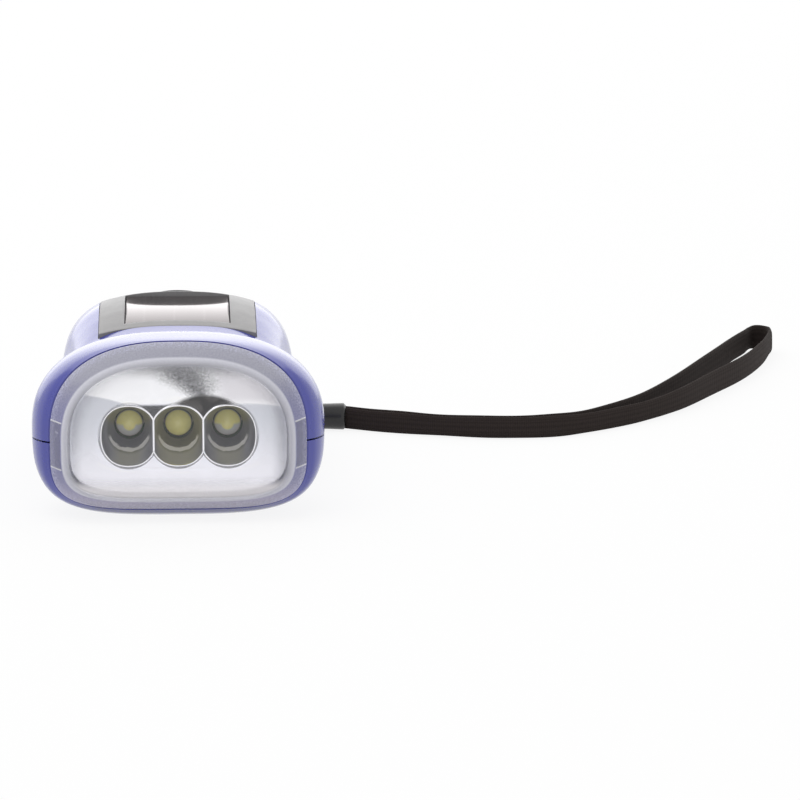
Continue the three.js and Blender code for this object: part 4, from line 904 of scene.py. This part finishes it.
def skin(name, inset=0):
    """The closed skin, or a coarser one drawn in by an inset, to hollow it or to trim what fits in it."""
    fine, count = (COARSE, 96) if inset else (FINE, 144)
    places = []
    for start, end in zip(station_places, station_places[1:]):
        places += [start + (end - start) * i / fine for i in range(fine)]
    places.append(station_places[-1])
    rows = []
    if inset:
        rows.append(ring_at(station_places[0] - 1, outline_at(station_places[0]), inset, count))
    for place in places:
        past = max(place - crest[0], 0)
        shrink = (tail[0] - inset - crest[0]) / (tail[0] - crest[0])
        rows.append(ring_at(min(place, crest[0]) + past * shrink, outline_at(place), inset, count))
    if not inset:
        for i in range(1, 5):
            turn = i / 4 * math.pi / 2
            drop = TAIL_ROUND * (1 - math.cos(turn))
            rows.append(ring_at(tail[0], outline_at(tail[0]), drop, count))
    return rolled(name, rows)


def keep_between(piece, low, high):
    """Keeps the part of a piece between two heights."""
    return carved(piece, boxed("keep", (-FAR, FAR), (FRONT - FAR, TAIL + FAR), (low, high)), "INTERSECT")


def post(x, place, radius, bottom, top, steps=40):
    """An upright round post, in millimetres."""
    return rod("post", radius, bottom, top, at=(x, FRONT + place, 0), steps=steps)


def posts_at(places, *sizes):
    return [post(x, place, *sizes) for x, place in places]


def screw_place(name):
    low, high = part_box(name)
    return (low.x + high.x) / 2 / MM, (low.y + high.y) / 2 / MM - FRONT


housing_screws = [screw_place(f"housing_screw_{i}") for i in (1, 2, 3, 4)]
plate_screws = [screw_place(f"gear_plate_screw_{i}") for i in (1, 2, 3, 4)]
HUB = screw_place("crank_screw")[1]
IDLER = screw_place("idler_pin_1")[1]
STRAP_PIN = screw_place("strap_pin")
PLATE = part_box("gear_plate")[0].z / MM

lower = keep_between(skin("lower_shell"), 0, PARTING - SEAT / 2)
hollow = skin("hollow", WALL)
carved(hollow, boxed("floor", (-FAR, FAR), (FRONT + BELLY_STEP - WALL, TAIL + FAR), (-FAR, BELLY + WALL)))
carved(lower, hollow)
carved(lower, boxed("belly", (-FAR, FAR), (FRONT + BELLY_STEP, TAIL + FAR), (-FAR, BELLY)))
print("lower shell", len(lower.data.polygons), "faces")

# %% [markdown]
# The lower shell gets a post for each screw and for a gear's pin, and a block for the strap's pin. The
# block and the posts near the tail run into the wall, which slopes there, so a smaller skin trims them.
# Then the wells for the screw heads, the crank's bearing and the strap's way out are cut. The thin
# bores come last, so that no post fills them again.

# %% Posts and wells of the lower shell
BOSS = 2.7
POST = 2.3
IDLER_POST = 2.8
IDLER_TOP = 9.9
IDLER_HOLE = (8.2, 11)
PLATE_HOLE = 4.5
STRAP_BLOCK = 4
STRAP_GATE = (9.7, 12.2)
STRAP_HOLE = 1.2
SCREW_HOLE = 1.3
WELL = 2.2
WELL_DEPTH = 1.7
BUSH_LIP = 1.2
INSIDE = 0.4
foot = BELLY + 0.5
low_top = PARTING - SEAT / 2
pin_x, pin_place = STRAP_PIN
pin_y = FRONT + pin_place
posts = posts_at(housing_screws[:2], BOSS, foot, low_top)
posts += posts_at(plate_screws, POST, foot, PLATE - SEAT)
posts.append(post(0, IDLER, IDLER_POST, foot, IDLER_TOP))
carved(lower, together(posts), "UNION")
corner_x = (pin_x - STRAP_BLOCK / 2, pin_x + STRAP_BLOCK)
corner = boxed("corner", corner_x, (pin_y - STRAP_BLOCK, pin_y + STRAP_BLOCK), (foot, low_top))
carved(corner, together(posts_at(housing_screws[2:], BOSS, foot, low_top)), "UNION")
carved(lower, carved(corner, skin("inside", INSIDE), "INTERSECT"), "UNION")
holes = posts_at(housing_screws, WELL, BELLY - 1, BELLY + WELL_DEPTH)
holes.append(post(0, HUB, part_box("crank_bush")[1].x / MM - BUSH_LIP + SEAT, 0, BELLY + WALL + 1, 64))
gate_x = (pin_x - STRAP_BLOCK / 2 - 0.5, pin_x + 2 * STRAP_BLOCK)
gate_y = (pin_y - STRAP_BLOCK / 2 - SEAT, pin_y + STRAP_BLOCK / 2 + SEAT)
holes.append(boxed("notch", gate_x, gate_y, STRAP_GATE))
carved(lower, together(holes))
bores = posts_at(housing_screws, SCREW_HOLE, BELLY, PARTING + 1)
bores += posts_at(plate_screws, SCREW_HOLE - SEAT, PLATE - PLATE_HOLE, PLATE)
bores.append(post(0, IDLER, SCREW_HOLE, *IDLER_HOLE))
bores.append(post(*STRAP_PIN, STRAP_HOLE, BELLY + WALL / 2, PARTING))
carved(lower, together(bores))
attached(lower, 32, "housing", "blue_shell", "lower_housing")

# %% [markdown]
# The solar panel isn't flat: it follows the crown of the back and arches across it. The same slab makes
# the panel's frame, the pocket that it lies in and the seat under it, so one helper builds all three.

# %% Slab that follows the crown
BEZEL_HALF = 14.5
BEZEL_START = 33.9
BEZEL_END = 66
BEZEL_THICK = 2.2
WINDOW_HALF = 9.8
WINDOW_START = 36.6
WINDOW_END = 59.5
ARCH_FRONT = 1.5
ARCH_REAR = 1.9
ARCH_POWER = 2.5
SEAM = 0.12


def crown_slab(name, half, start, end, top_drop, base_drop, fine=26):
    """A slab that follows the crown between two depths below it, arched across."""
    shares = [1 - i / 14 for i in range(29)]
    rows = []
    for i in range(fine + 1):
        place = start + (end - start) * i / fine
        crown = crown_at(place)
        along = clamped((place - BEZEL_START) / (crest[0] - BEZEL_START))
        arch = ARCH_FRONT + (ARCH_REAR - ARCH_FRONT) * along
        falls = [(s * half, crown - arch * abs(s) ** ARCH_POWER) for s in shares]
        top = [(x, FRONT + place, z - top_drop) for x, z in falls]
        base = [(-x, FRONT + place, z - base_drop) for x, z in falls]
        rows.append([*top, *base])
    return rolled(name, rows)


def window_from(height):
    """A cutter for the panel's window, from a height up."""
    across = (-WINDOW_HALF, WINDOW_HALF)
    return boxed("window", across, (FRONT + WINDOW_START, FRONT + WINDOW_END), (height, FAR))


# %% [markdown]
# The upper shell gets the seat and the pocket of the solar panel, a shallow collar round the button
# and posts for the screws. What is joined to it is trimmed by a smaller skin first, so that nothing
# shows through the outside.

# %% Upper shell
BUTTON = screw_place("push_button")[1]
BUTTON_RADIUS = 4.3
COLLAR = 6
COLLAR_DROP = 0.4
SEAT_MARGIN = 1.5
SEAT_THICK = 1
TRIM = 0.5
HOLE_TOP = 17.5

upper = keep_between(skin("upper_shell"), PARTING + SEAT / 2, FAR)
carved(upper, skin("hollow", WALL))
depth = BEZEL_THICK + SEAT
seat_ends = (BEZEL_START - SEAT_MARGIN, BEZEL_END + SEAT_MARGIN)
seat = crown_slab("seat", BEZEL_HALF + SEAT_MARGIN, *seat_ends, SEAT, depth + SEAT_THICK)
carved(seat, skin("inside", TRIM), "INTERSECT")
posts = together(posts_at(housing_screws, BOSS, PARTING + SEAT / 2, FAR / 2))
carved(posts, skin("inside", TRIM), "INTERSECT")
carved(upper, seat, "UNION")
carved(upper, posts, "UNION")
carved(upper, crown_slab("pocket", BEZEL_HALF + SEAM, BEZEL_START - SEAM, BEZEL_END + SEAM, -2, depth))
carved(upper, window_from(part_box("solar_cell")[0].z / MM - SEAT))
holes = [post(0, BUTTON, BUTTON_RADIUS + SEAT, PARTING, FAR, 64)]
holes += posts_at(housing_screws, SCREW_HOLE - SEAT, PARTING, HOLE_TOP)
carved(upper, post(0, BUTTON, COLLAR, crown_at(BUTTON) - COLLAR_DROP, FAR, 96))
carved(upper, together(holes))
attached(upper, 32, "housing", "blue_shell", "upper_housing")

# %% [markdown]
# ## The lens cap
# The cap is one moulding: a clear face, a bevelled edge, and a tongue that slides into the housing. It
# could be a lid with a Bevel modifier, but its edge changes slope many times. So it is a skin over
# outlines that run from the middle of the face, over the edge, round the tongue and back behind it.

# %% Skin of the lens cap
LENS_POINTS = 180
LENS_WALL = 1.3
FACE = 10.5
BORE = 3
TONGUE = 1.8
TONGUE_EDGE = 0.1
lens_outline = (22.9, 14.5, 32.1, 1.8, 2.5, 4.2)
# Each row: place, how far the outline is drawn in, and how milky the surface is.
cap_profile = [
    (0, FACE, 0), (0.02, 8, 0), (0.1, 6, 0), (0.22, 4.6, 0), (0.36, 3.8, 0.08), (0.56, 3.1, 0.55),
    (0.8, 2.6, 0.75), (1.1, 2.25, 0.85), (1.5, 1.98, 0.85), (2.6, 1.4, 0.82), (4, 0.75, 0.82),
    (5.1, 0.22, 0.9), (5.45, 0.06, 1), (5.6, 0, 1), (5.7, 0.12, 1), (5.7, 1.1, 0.9),
    (5.75, TONGUE, 0.8), (9.2, TONGUE, 0.8), (9.3, TONGUE + TONGUE_EDGE, 0.8),
    (9.3, BORE - TONGUE_EDGE, 0.8), (9.2, BORE, 0.8), (5.7, BORE, 0.8), (3, BORE, 0.8),
    (2.6, 3.1, 0.6), (2.1, 3.5, 0.3), (1.7, 4.2, 0.1), (1.42, 5.4, 0), (1.32, 7, 0), (LENS_WALL, FACE, 0),
]
rows = [ring_at(place, lens_outline, inset, LENS_POINTS) for place, inset, amount in cap_profile]
cap = rolled("lens_cover", rows)
print("lens cover", len(cap.data.vertices), "points from", len(rows), "rows")

# %% [markdown]
# Merging and closing has renumbered the points, so each looks up the nearest point of the rows that it
# came from and takes that row's frost. A snap tab is then joined on each side of the tongue.

# %% Frost and snap tabs
frosting = cap.data.attributes.new("frost", "FLOAT", "POINT")
row_points = np.array(rows).reshape(-1, 3) * MM
row_frost = np.repeat([amount for place, inset, amount in cap_profile], LENS_POINTS)
row_tree = KDTree(len(row_points))
for i, point in enumerate(row_points):
    row_tree.insert(point, i)
row_tree.balance()
frosting.data.foreach_set("value", [float(row_frost[row_tree.find(v.co)[1]]) for v in cap.data.vertices])

TAB_OUT = 21.1
TAB_IN = 20
TAB_PLACES = (FRONT + 8, FRONT + 12.5)
tab_heights = (PARTING - TAB_HALF, PARTING + TAB_HALF)
tab_sides = [(-TAB_OUT, -TAB_IN), (TAB_IN, TAB_OUT)]
carved(cap, together([boxed("tab", side, TAB_PLACES, tab_heights) for side in tab_sides]), "UNION")
attached(cap, 40, "housing", "clear_lens", "lens_cap")

# %% [markdown]
# ## The reflector
# A shallow bowl runs into a flat floor with three cups. The bowl is a skin over outlines whose place
# follows a quarter of a sine wave, so it is steep at the rim and flat at the floor. A flange with a
# small lip runs round it, inside the lens cap.

# %% Bowl
FLANGE = 2.9
FLANGE_THICK = 1
LIP = 0.12
LIP_WIDTH = 0.3
BOWL_DEPTH = CUP_FACE - FLANGE
MIRROR_WALL = 0.8
bowl_outline = (19.2, 14.5, 28.4, 5.3, 2.5, 4)
cups_outline = (14.8, 15.3, 21.25, 9.35, 3, 3)


def bowl_ring(share, offset=0, setback=0):
    outline = [a + (b - a) * share for a, b in zip(bowl_outline, cups_outline)]
    place = FLANGE + BOWL_DEPTH * math.sin(share * math.pi / 2) + setback
    return ring_at(place, outline, -offset, LENS_POINTS)


shares = [i / 30 for i in range(31)]
edge = BORE + SEAT
flange_rows = [
    (FLANGE - LIP, bowl_outline, -LIP_WIDTH), (FLANGE - LIP, lens_outline, edge + LIP_WIDTH),
    (FLANGE, lens_outline, edge), (FLANGE + FLANGE_THICK, lens_outline, edge),
    (FLANGE + FLANGE_THICK, bowl_outline, -MIRROR_WALL),
]
rows = [bowl_ring(share) for share in reversed(shares)]
rows += [ring_at(*row, LENS_POINTS) for row in flange_rows]
rows += [bowl_ring(share, MIRROR_WALL, MIRROR_WALL) for share in shares[4::2]]
reflector = rolled("mirror_bowl", rows)
print("mirror bowl", len(reflector.data.polygons), "faces before its cups")

# %% [markdown]
# Each cup gets a raised rim on the floor and a tube behind it. The hollows are cut last, when all three
# tubes are there: ovals that narrow to the diode's hole, with a thin wall left between the cups.

# %% Cups
CUP_RADIUS = 5.4
CUP_POWER = 2.25
CUP_BACK = 0.4
DIVIDER = 0.3
DIODE_HOLE = 2.75
RIM_WIDTH = 0.35
CUP_PLACES = (-CUP_SPACING, 0, CUP_SPACING)
cup_end = CUP_FACE + CUP_DEPTH
cup_shares = [(0, 0), (0.15, 0.07), (0.3, 0.18), (0.47, 0.34), (0.65, 0.53), (0.83, 0.75), (1, 1)]
cup_curve = steady(*zip(*cup_shares))
# Each row of a cup's rim: how far it stands in front of the floor, and how far outside the cup.
rim_profile = [
    (-0.5, RIM_WIDTH), (0.2, RIM_WIDTH), (0.36, RIM_WIDTH - 0.06), (0.45, RIM_WIDTH - 0.17),
    (0.42, RIM_WIDTH - 0.28), (0.4, -0.4),
]


def cup_ring(x, place, narrowing=0, grow=0, walled=False):
    """An oval that narrows to the diode's hole. A walled one stops at the dividing walls."""
    pairs = ((CUP_HALF, DIODE_HOLE), (CUP_RISE, DIODE_HOLE), (CUP_POWER, 2))
    half, reach, power = (a + (b - a) * narrowing for a, b in pairs)
    outline = (half, CUP_HEIGHT, CUP_HEIGHT + reach, CUP_HEIGHT - reach, power, power)
    wall_at = (CUP_SPACING - DIVIDER) / 2 if walled else FAR
    low, high = (-wall_at if x > -1 else -FAR), (wall_at if x < 1 else FAR)
    return [(x + min(max(a, low), high), FRONT + place, z) for a, z in rounded_box(outline, -grow, 128)]


for x in CUP_PLACES:
    rim_rows = [cup_ring(x, CUP_FACE - proud, 0, grow) for proud, grow in rim_profile]
    carved(reflector, rolled("rim", rim_rows), "UNION")
    tube_at = (x, FRONT, CUP_HEIGHT)
    tube = rod("tube", CUP_RADIUS + MIRROR_WALL, cup_end, CUP_FACE + CUP_BACK, "Y", tube_at, 128)
    carved(reflector, tube, "UNION")
for x in CUP_PLACES:
    rows = [cup_ring(x, CUP_FACE - 2, walled=True)]
    for share in [i / 24 for i in range(25)]:
        rows.append(cup_ring(x, CUP_FACE + CUP_DEPTH * share, cup_curve(share), walled=True))
    carved(reflector, rolled("cup", [*rows, cup_ring(x, cup_end + 1, 1)]))
attached(reflector, 30, "housing", "chrome_mirror", "reflector")

# %% [markdown]
# ## The diodes
# Each diode is a dome on a short barrel with a flange, and two square legs. It is round, so it is spun
# from half of its section. Its real size is known: the dome is 5 mm across.

# %% Diodes
DIODE = 2.5
DIODE_LENGTH = 8.6
DIODE_FLANGE = 2.85
LEG_SPACING = 1.27
LEG_HALF = 0.25
# Each point of the flange: its radius, and how far in front of the diode's back it lies.
flange_profile = [
    (DIODE, 1.1), (DIODE + 0.08, 1), (DIODE_FLANGE - 0.05, 1), (DIODE_FLANGE, 0.92), (DIODE_FLANGE, 0.06),
    (DIODE_FLANGE - 0.06, 0), (0, 0),
]
dome = [i / 14 * math.pi / 2 for i in range(15)]
for name in ("led_1", "led_2", "led_3"):
    low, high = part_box(name)
    x, front = (low + high).x / 2 / MM, low.y / MM
    back = front + DIODE_LENGTH
    section = [(DIODE * math.sin(turn), front + DIODE * (1 - math.cos(turn))) for turn in dome]
    section += [(radius, back - ahead) for radius, ahead in flange_profile]
    diode = spun(name.replace("led", "diode"), section, "Y", (x, 0, CUP_HEIGHT))
    leg_heights = (CUP_HEIGHT - LEG_HALF, CUP_HEIGHT + LEG_HALF)
    leg_middles = [x - LEG_SPACING, x + LEG_SPACING]
    legs = [boxed("leg", (leg - LEG_HALF, leg + LEG_HALF), (back - 0.4, high.y / MM), leg_heights)
            for leg in leg_middles]
    carved(diode, together(legs), "UNION")
    attached(diode, 40, "housing", "led_resin", name)

# %% [markdown]
# ## The solar panel
# A dark frame follows the crown of the back, and the cell lies in it a little lower. The frame is the
# slab again, with a window cut in it. A Bevel modifier rounds its edges, so that they catch the light.

# %% Panel frame and cell
FRAME_ROUND = 0.22
CELL_ROUND = 0.15
CELL_THICK = 1
CELL_DROPS = (0.85, 0.9)
bezel = crown_slab("panel_frame", BEZEL_HALF, BEZEL_START, BEZEL_END, 0, BEZEL_THICK, 34)
carved(bezel, window_from(0))
softened(bezel, FRAME_ROUND)
attached(bezel, 35, "housing", "bezel_plastic", "solar_bezel")

half = WINDOW_HALF - SEAM
cell_rows = []
for place, drop in zip((WINDOW_START + SEAT, WINDOW_END - SEAT), CELL_DROPS):
    top = crown_at(place) - drop
    corners = [(half, top - CELL_THICK), (half, top), (-half, top), (-half, top - CELL_THICK)]
    cell_rows.append([(x, FRONT + place, z) for x, z in corners])
cell = softened(rolled("panel_cell", cell_rows), CELL_ROUND, 2)
attached(cell, 35, "housing", "solar_glass", "solar_cell")

# %% [markdown]
# ## The button
# A round black button stands just proud of its collar, with a shallow dish for the thumb and three
# grip rings. A wide flange inside the housing keeps it from falling out. The rings are part of the
# section, so the spin makes the whole button at once. It rides on a body of its own, which moves.

# %% Button
BUTTON_FLANGE = 5.2
FLANGE_DROP = 3.7
FLANGE_HEIGHT = 0.7
STEM = 1.5
GRIP_RINGS = (2.6, 3.05, 3.5)
button_low, button_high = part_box("push_button")
flange_top = crown_at(BUTTON) - FLANGE_DROP
# Each point: its radius, and how far it lies under the button's top.
face = [(0, 0.35), (1.2, 0.3), (2.2, 0.12)]
for grip in GRIP_RINGS:
    face += [(grip - 0.12, 0.14), (grip, 0), (grip + 0.16, 0), (grip + 0.28, 0.14)]
face += [(BUTTON_RADIUS - 0.3, 0.2), (BUTTON_RADIUS - 0.1, 0.32), (BUTTON_RADIUS, 0.55)]
section = [(radius, button_high.z / MM - drop) for radius, drop in face]
section += [(BUTTON_RADIUS, flange_top), (BUTTON_FLANGE, flange_top)]
section += [(BUTTON_FLANGE, flange_top - FLANGE_HEIGHT), (STEM, flange_top - FLANGE_HEIGHT)]
section += [(STEM, button_low.z / MM), (0, button_low.z / MM)]
button = spun("thumb_button", section, "Z", (0, FRONT + BUTTON, 0), 72)
attached(button, 30, "button", "black_plastic", "push_button")

# %% [markdown]
# ## The crank
# The lever is a round hub with an arm that ends in half a circle. The knob lies in a slot in the arm.
# Its outline could be drawn and extruded. Here three plain solids are joined, cut and rounded on every
# edge, and the bores come last, so that their edges stay sharp.

# %% Crank lever
HUB_RADIUS = 12
LEVER_HALF = 6.8
LEVER_BOTTOM = 0.3
LEVER_TOP = 7
LEVER_ROUND = 0.45
SLOT_HALF = 3.7
SLOT_ENDS = (13.4, 35.6)
WELL_RADIUS = 3.4
WELL_TOP = 1.7
RECESS_RADII = (5.2, 9.4)
RECESS_TOP = 0.4
SCREW_BORE = 1.3
SHAFT_BORE = 2.8
SHAFT_END = 2.9
PIN_PLACE = 32.2
PIN_RADIUS = 1.1
PIN_HALF = 5.5
KNOB_HEIGHT = 3.6
hub_y = FRONT + HUB
hub_at = (0, hub_y, 0)
arm_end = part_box("crank_lever")[1].y / MM - LEVER_HALF
knob_at = (0, hub_y + PIN_PLACE, KNOB_HEIGHT)


def knob_pin():
    """A cutter for the pin that the knob folds on."""
    return rod("pin", PIN_RADIUS, -PIN_HALF, PIN_HALF, "X", knob_at, 32)


lever = boxed("crank_arm", (-LEVER_HALF, LEVER_HALF), (hub_y, arm_end), (LEVER_BOTTOM, LEVER_TOP))
carved(lever, rod("tip", LEVER_HALF, LEVER_BOTTOM, LEVER_TOP, at=(0, arm_end, 0)), "UNION")
carved(lever, rod("hub", HUB_RADIUS, 0, LEVER_TOP, at=hub_at, steps=96), "UNION")
carved(lever, boxed("slot", (-SLOT_HALF, SLOT_HALF), [hub_y + end for end in SLOT_ENDS], (-1, 9)))
carved(lever, rod("well", WELL_RADIUS, -1, WELL_TOP, at=hub_at))
near, wide = RECESS_RADII
recess = [(near, -1), (wide, -1), (wide, RECESS_TOP), (near, RECESS_TOP), (near, -1)]
carved(lever, spun("recess", recess, at=hub_at, steps=96))
softened(lever, LEVER_ROUND, 4)
carved(lever, post(0, HUB, SCREW_BORE, 0, LEVER_TOP))
carved(lever, post(0, HUB, SHAFT_BORE, SHAFT_END, LEVER_TOP + 1))
carved(lever, knob_pin())
attached(lever, 30, "crank", "blue_shell", "crank_lever")

# %% [markdown]
# The knob folds: a small block turns on a pin in the slot. Its nose is round about the pin, so that it
# clears the slot as it folds, and a thin spindle reaches out of it.

# %% Block and spindle of the knob
BLOCK_HALF = 3.4
BLOCK_ROUND = 2.7
BLOCK_EDGE = 0.3
KNOB_END = 15.8
SPINDLE = 1.3
SPINDLE_ROOT = 1.7
KNOB_SCREW = 0.65
KNOB_SCREW_DEPTH = 5.3
knob_y = hub_y + PIN_PLACE
knob_axis = (0, 0, KNOB_HEIGHT)
block_heights = (KNOB_HEIGHT - BLOCK_ROUND, KNOB_HEIGHT + BLOCK_ROUND)
block = boxed("knob_block", (-BLOCK_HALF, BLOCK_HALF), (knob_y - BLOCK_ROUND, knob_y), block_heights)
carved(block, rod("nose", BLOCK_ROUND, -BLOCK_HALF, BLOCK_HALF, "X", knob_at, 48), "UNION")
softened(block, BLOCK_EDGE)
tip_y = hub_y + KNOB_END - SEAT
carved(block, rod("spindle", SPINDLE, tip_y, knob_y - SPINDLE_ROOT, "Y", knob_axis, 32), "UNION")
carved(block, knob_pin())
carved(block, rod("bore", KNOB_SCREW, tip_y - 1, tip_y + KNOB_SCREW_DEPTH, "Y", knob_axis, 24))
attached(block, 30, "knob_arm", "blue_shell", "knob_arm")

# %% [markdown]
# The fingers hold a ribbed sleeve that spins on the spindle. It is a skin over circles whose radius
# dips sixteen times round the sleeve. The dips fade out near both ends, which are rounded.

# %% Ribbed sleeve of the knob
KNOB_RADIUS = 3.1
KNOB_ROUND = 0.5
RIBS = 16
RIB_DEPTH = 0.3
RIB_START = 1.2
RIB_FADE = 0.8
knob_start, knob_stop = (corner.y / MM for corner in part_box("knob_sleeve"))
rows = []
for share in [i / 48 for i in range(49)]:
    place = knob_start + (knob_stop - knob_start) * share
    ends = min(share, 1 - share) * (knob_stop - knob_start)
    rounding = KNOB_ROUND - math.sqrt(max(KNOB_ROUND**2 - max(KNOB_ROUND - ends, 0) ** 2, 0))
    ribbed = clamped((ends - RIB_START) / RIB_FADE)
    ring = []
    for turn in turns(128):
        dip = RIB_DEPTH * ribbed * max(math.cos(RIBS * turn), 0) ** 2
        here = KNOB_RADIUS - rounding - dip
        ring.append((here * math.cos(turn), place, KNOB_HEIGHT + here * math.sin(turn)))
    rows.append(ring)
knob = rolled("knob_grip", rows)
carved(knob, rod("bore", SPINDLE + SEAT, knob_start - 1, knob_stop + 1, "Y", knob_axis, 48))
attached(knob, 40, "knob", "black_plastic", "knob_sleeve")

# %% [markdown]
# ## What stays as it is
# The gears, shafts, boards, cells and screws keep their CAD shapes. Each takes the finish of its slot
# in the record.

# %% Finishes of the carried-over nodes
for part in frame["record"]["subparts"]:
    node = nodes[part["node"]]
    node.data.materials.clear()
    node.data.materials.append(finishes[part["material_slot"]].material)
    if not node.hide_render:
        smoothed(node, 30)
print(len(finishes), "finishes on", len(nodes), "nodes")

# %% [markdown]
# ## The studio
# The torch stands on a white floor in a white world. More light would bleach the torch, so the floor
# and the world are white only to the camera, to mirrors and through clear plastic. A soft share of the
# floor's plain paper is kept, and with it the torch's faint shadow.

# %% Floor and world
FLOOR_SIZE = 6
PAPER = (0.88, 0.88, 0.88)
PAPER_GLOW = 0.88
WORLD_LIGHT = 0.6
floor = added("floor", bpy.ops.mesh.primitive_plane_add, size=FLOOR_SIZE, location=(0, 0, 0))
white = Finish("white_floor")
white.tree.nodes.remove(white.shader)
paper = white.node("ShaderNodeBsdfDiffuse", sockets={"Color": PAPER})
lit = white.node("ShaderNodeEmission", sockets={"Strength": 1})
shown = white.node("ShaderNodeMixShader", sockets={0: white.direct() * PAPER_GLOW, 1: paper, 2: lit})
white.plug(white.tree.nodes["Material Output"].inputs["Surface"], shown)
floor.data.materials.append(white.material)

world = bpy.data.worlds.new("studio")
bpy.context.scene.world = world
world.use_nodes = True
sky = Nodes(world.node_tree)
background = sky.tree.nodes["Background"]
sky.plug(background.inputs["Color"], (1, 1, 1))
strength = {"Value": sky.direct(), "To Min": WORLD_LIGHT, "To Max": 1}
sky.plug(background.inputs["Strength"], sky.node("ShaderNodeMapRange", sockets=strength))

# %% [markdown]
# Two soft lamps light the torch. The large one stands behind it and gives the top and the solar cell
# their pale sheen, and the small one above keeps the front from being too dark. Mirrors don't see the
# small one. Their places and sizes are in metres.

# %% Lamps
def lamp(name, place, size, power, target=(0, 0, 0.015)):
    """A soft lamp that points at the torch and isn't seen by the camera."""
    data = bpy.data.lights.new(name, "AREA")
    data.shape = "RECTANGLE"
    data.size, data.size_y = size
    data.energy = power
    piece = bpy.data.objects.new(name, data)
    bpy.context.collection.objects.link(piece)
    piece.location = place
    piece.rotation_euler = (Vector(target) - Vector(place)).to_track_quat("-Z", "Y").to_euler()
    piece.visible_camera = False
    return piece


lamp("rear_lamp", (0, 1.1, 0.85), (3.2, 2.0), 15)
top_lamp = lamp("top_lamp", (-0.3, -0.2, 1.1), (1.0, 1.0), 5)
top_lamp.visible_glossy = False
bpy.context.scene.view_settings.view_transform = "Standard"
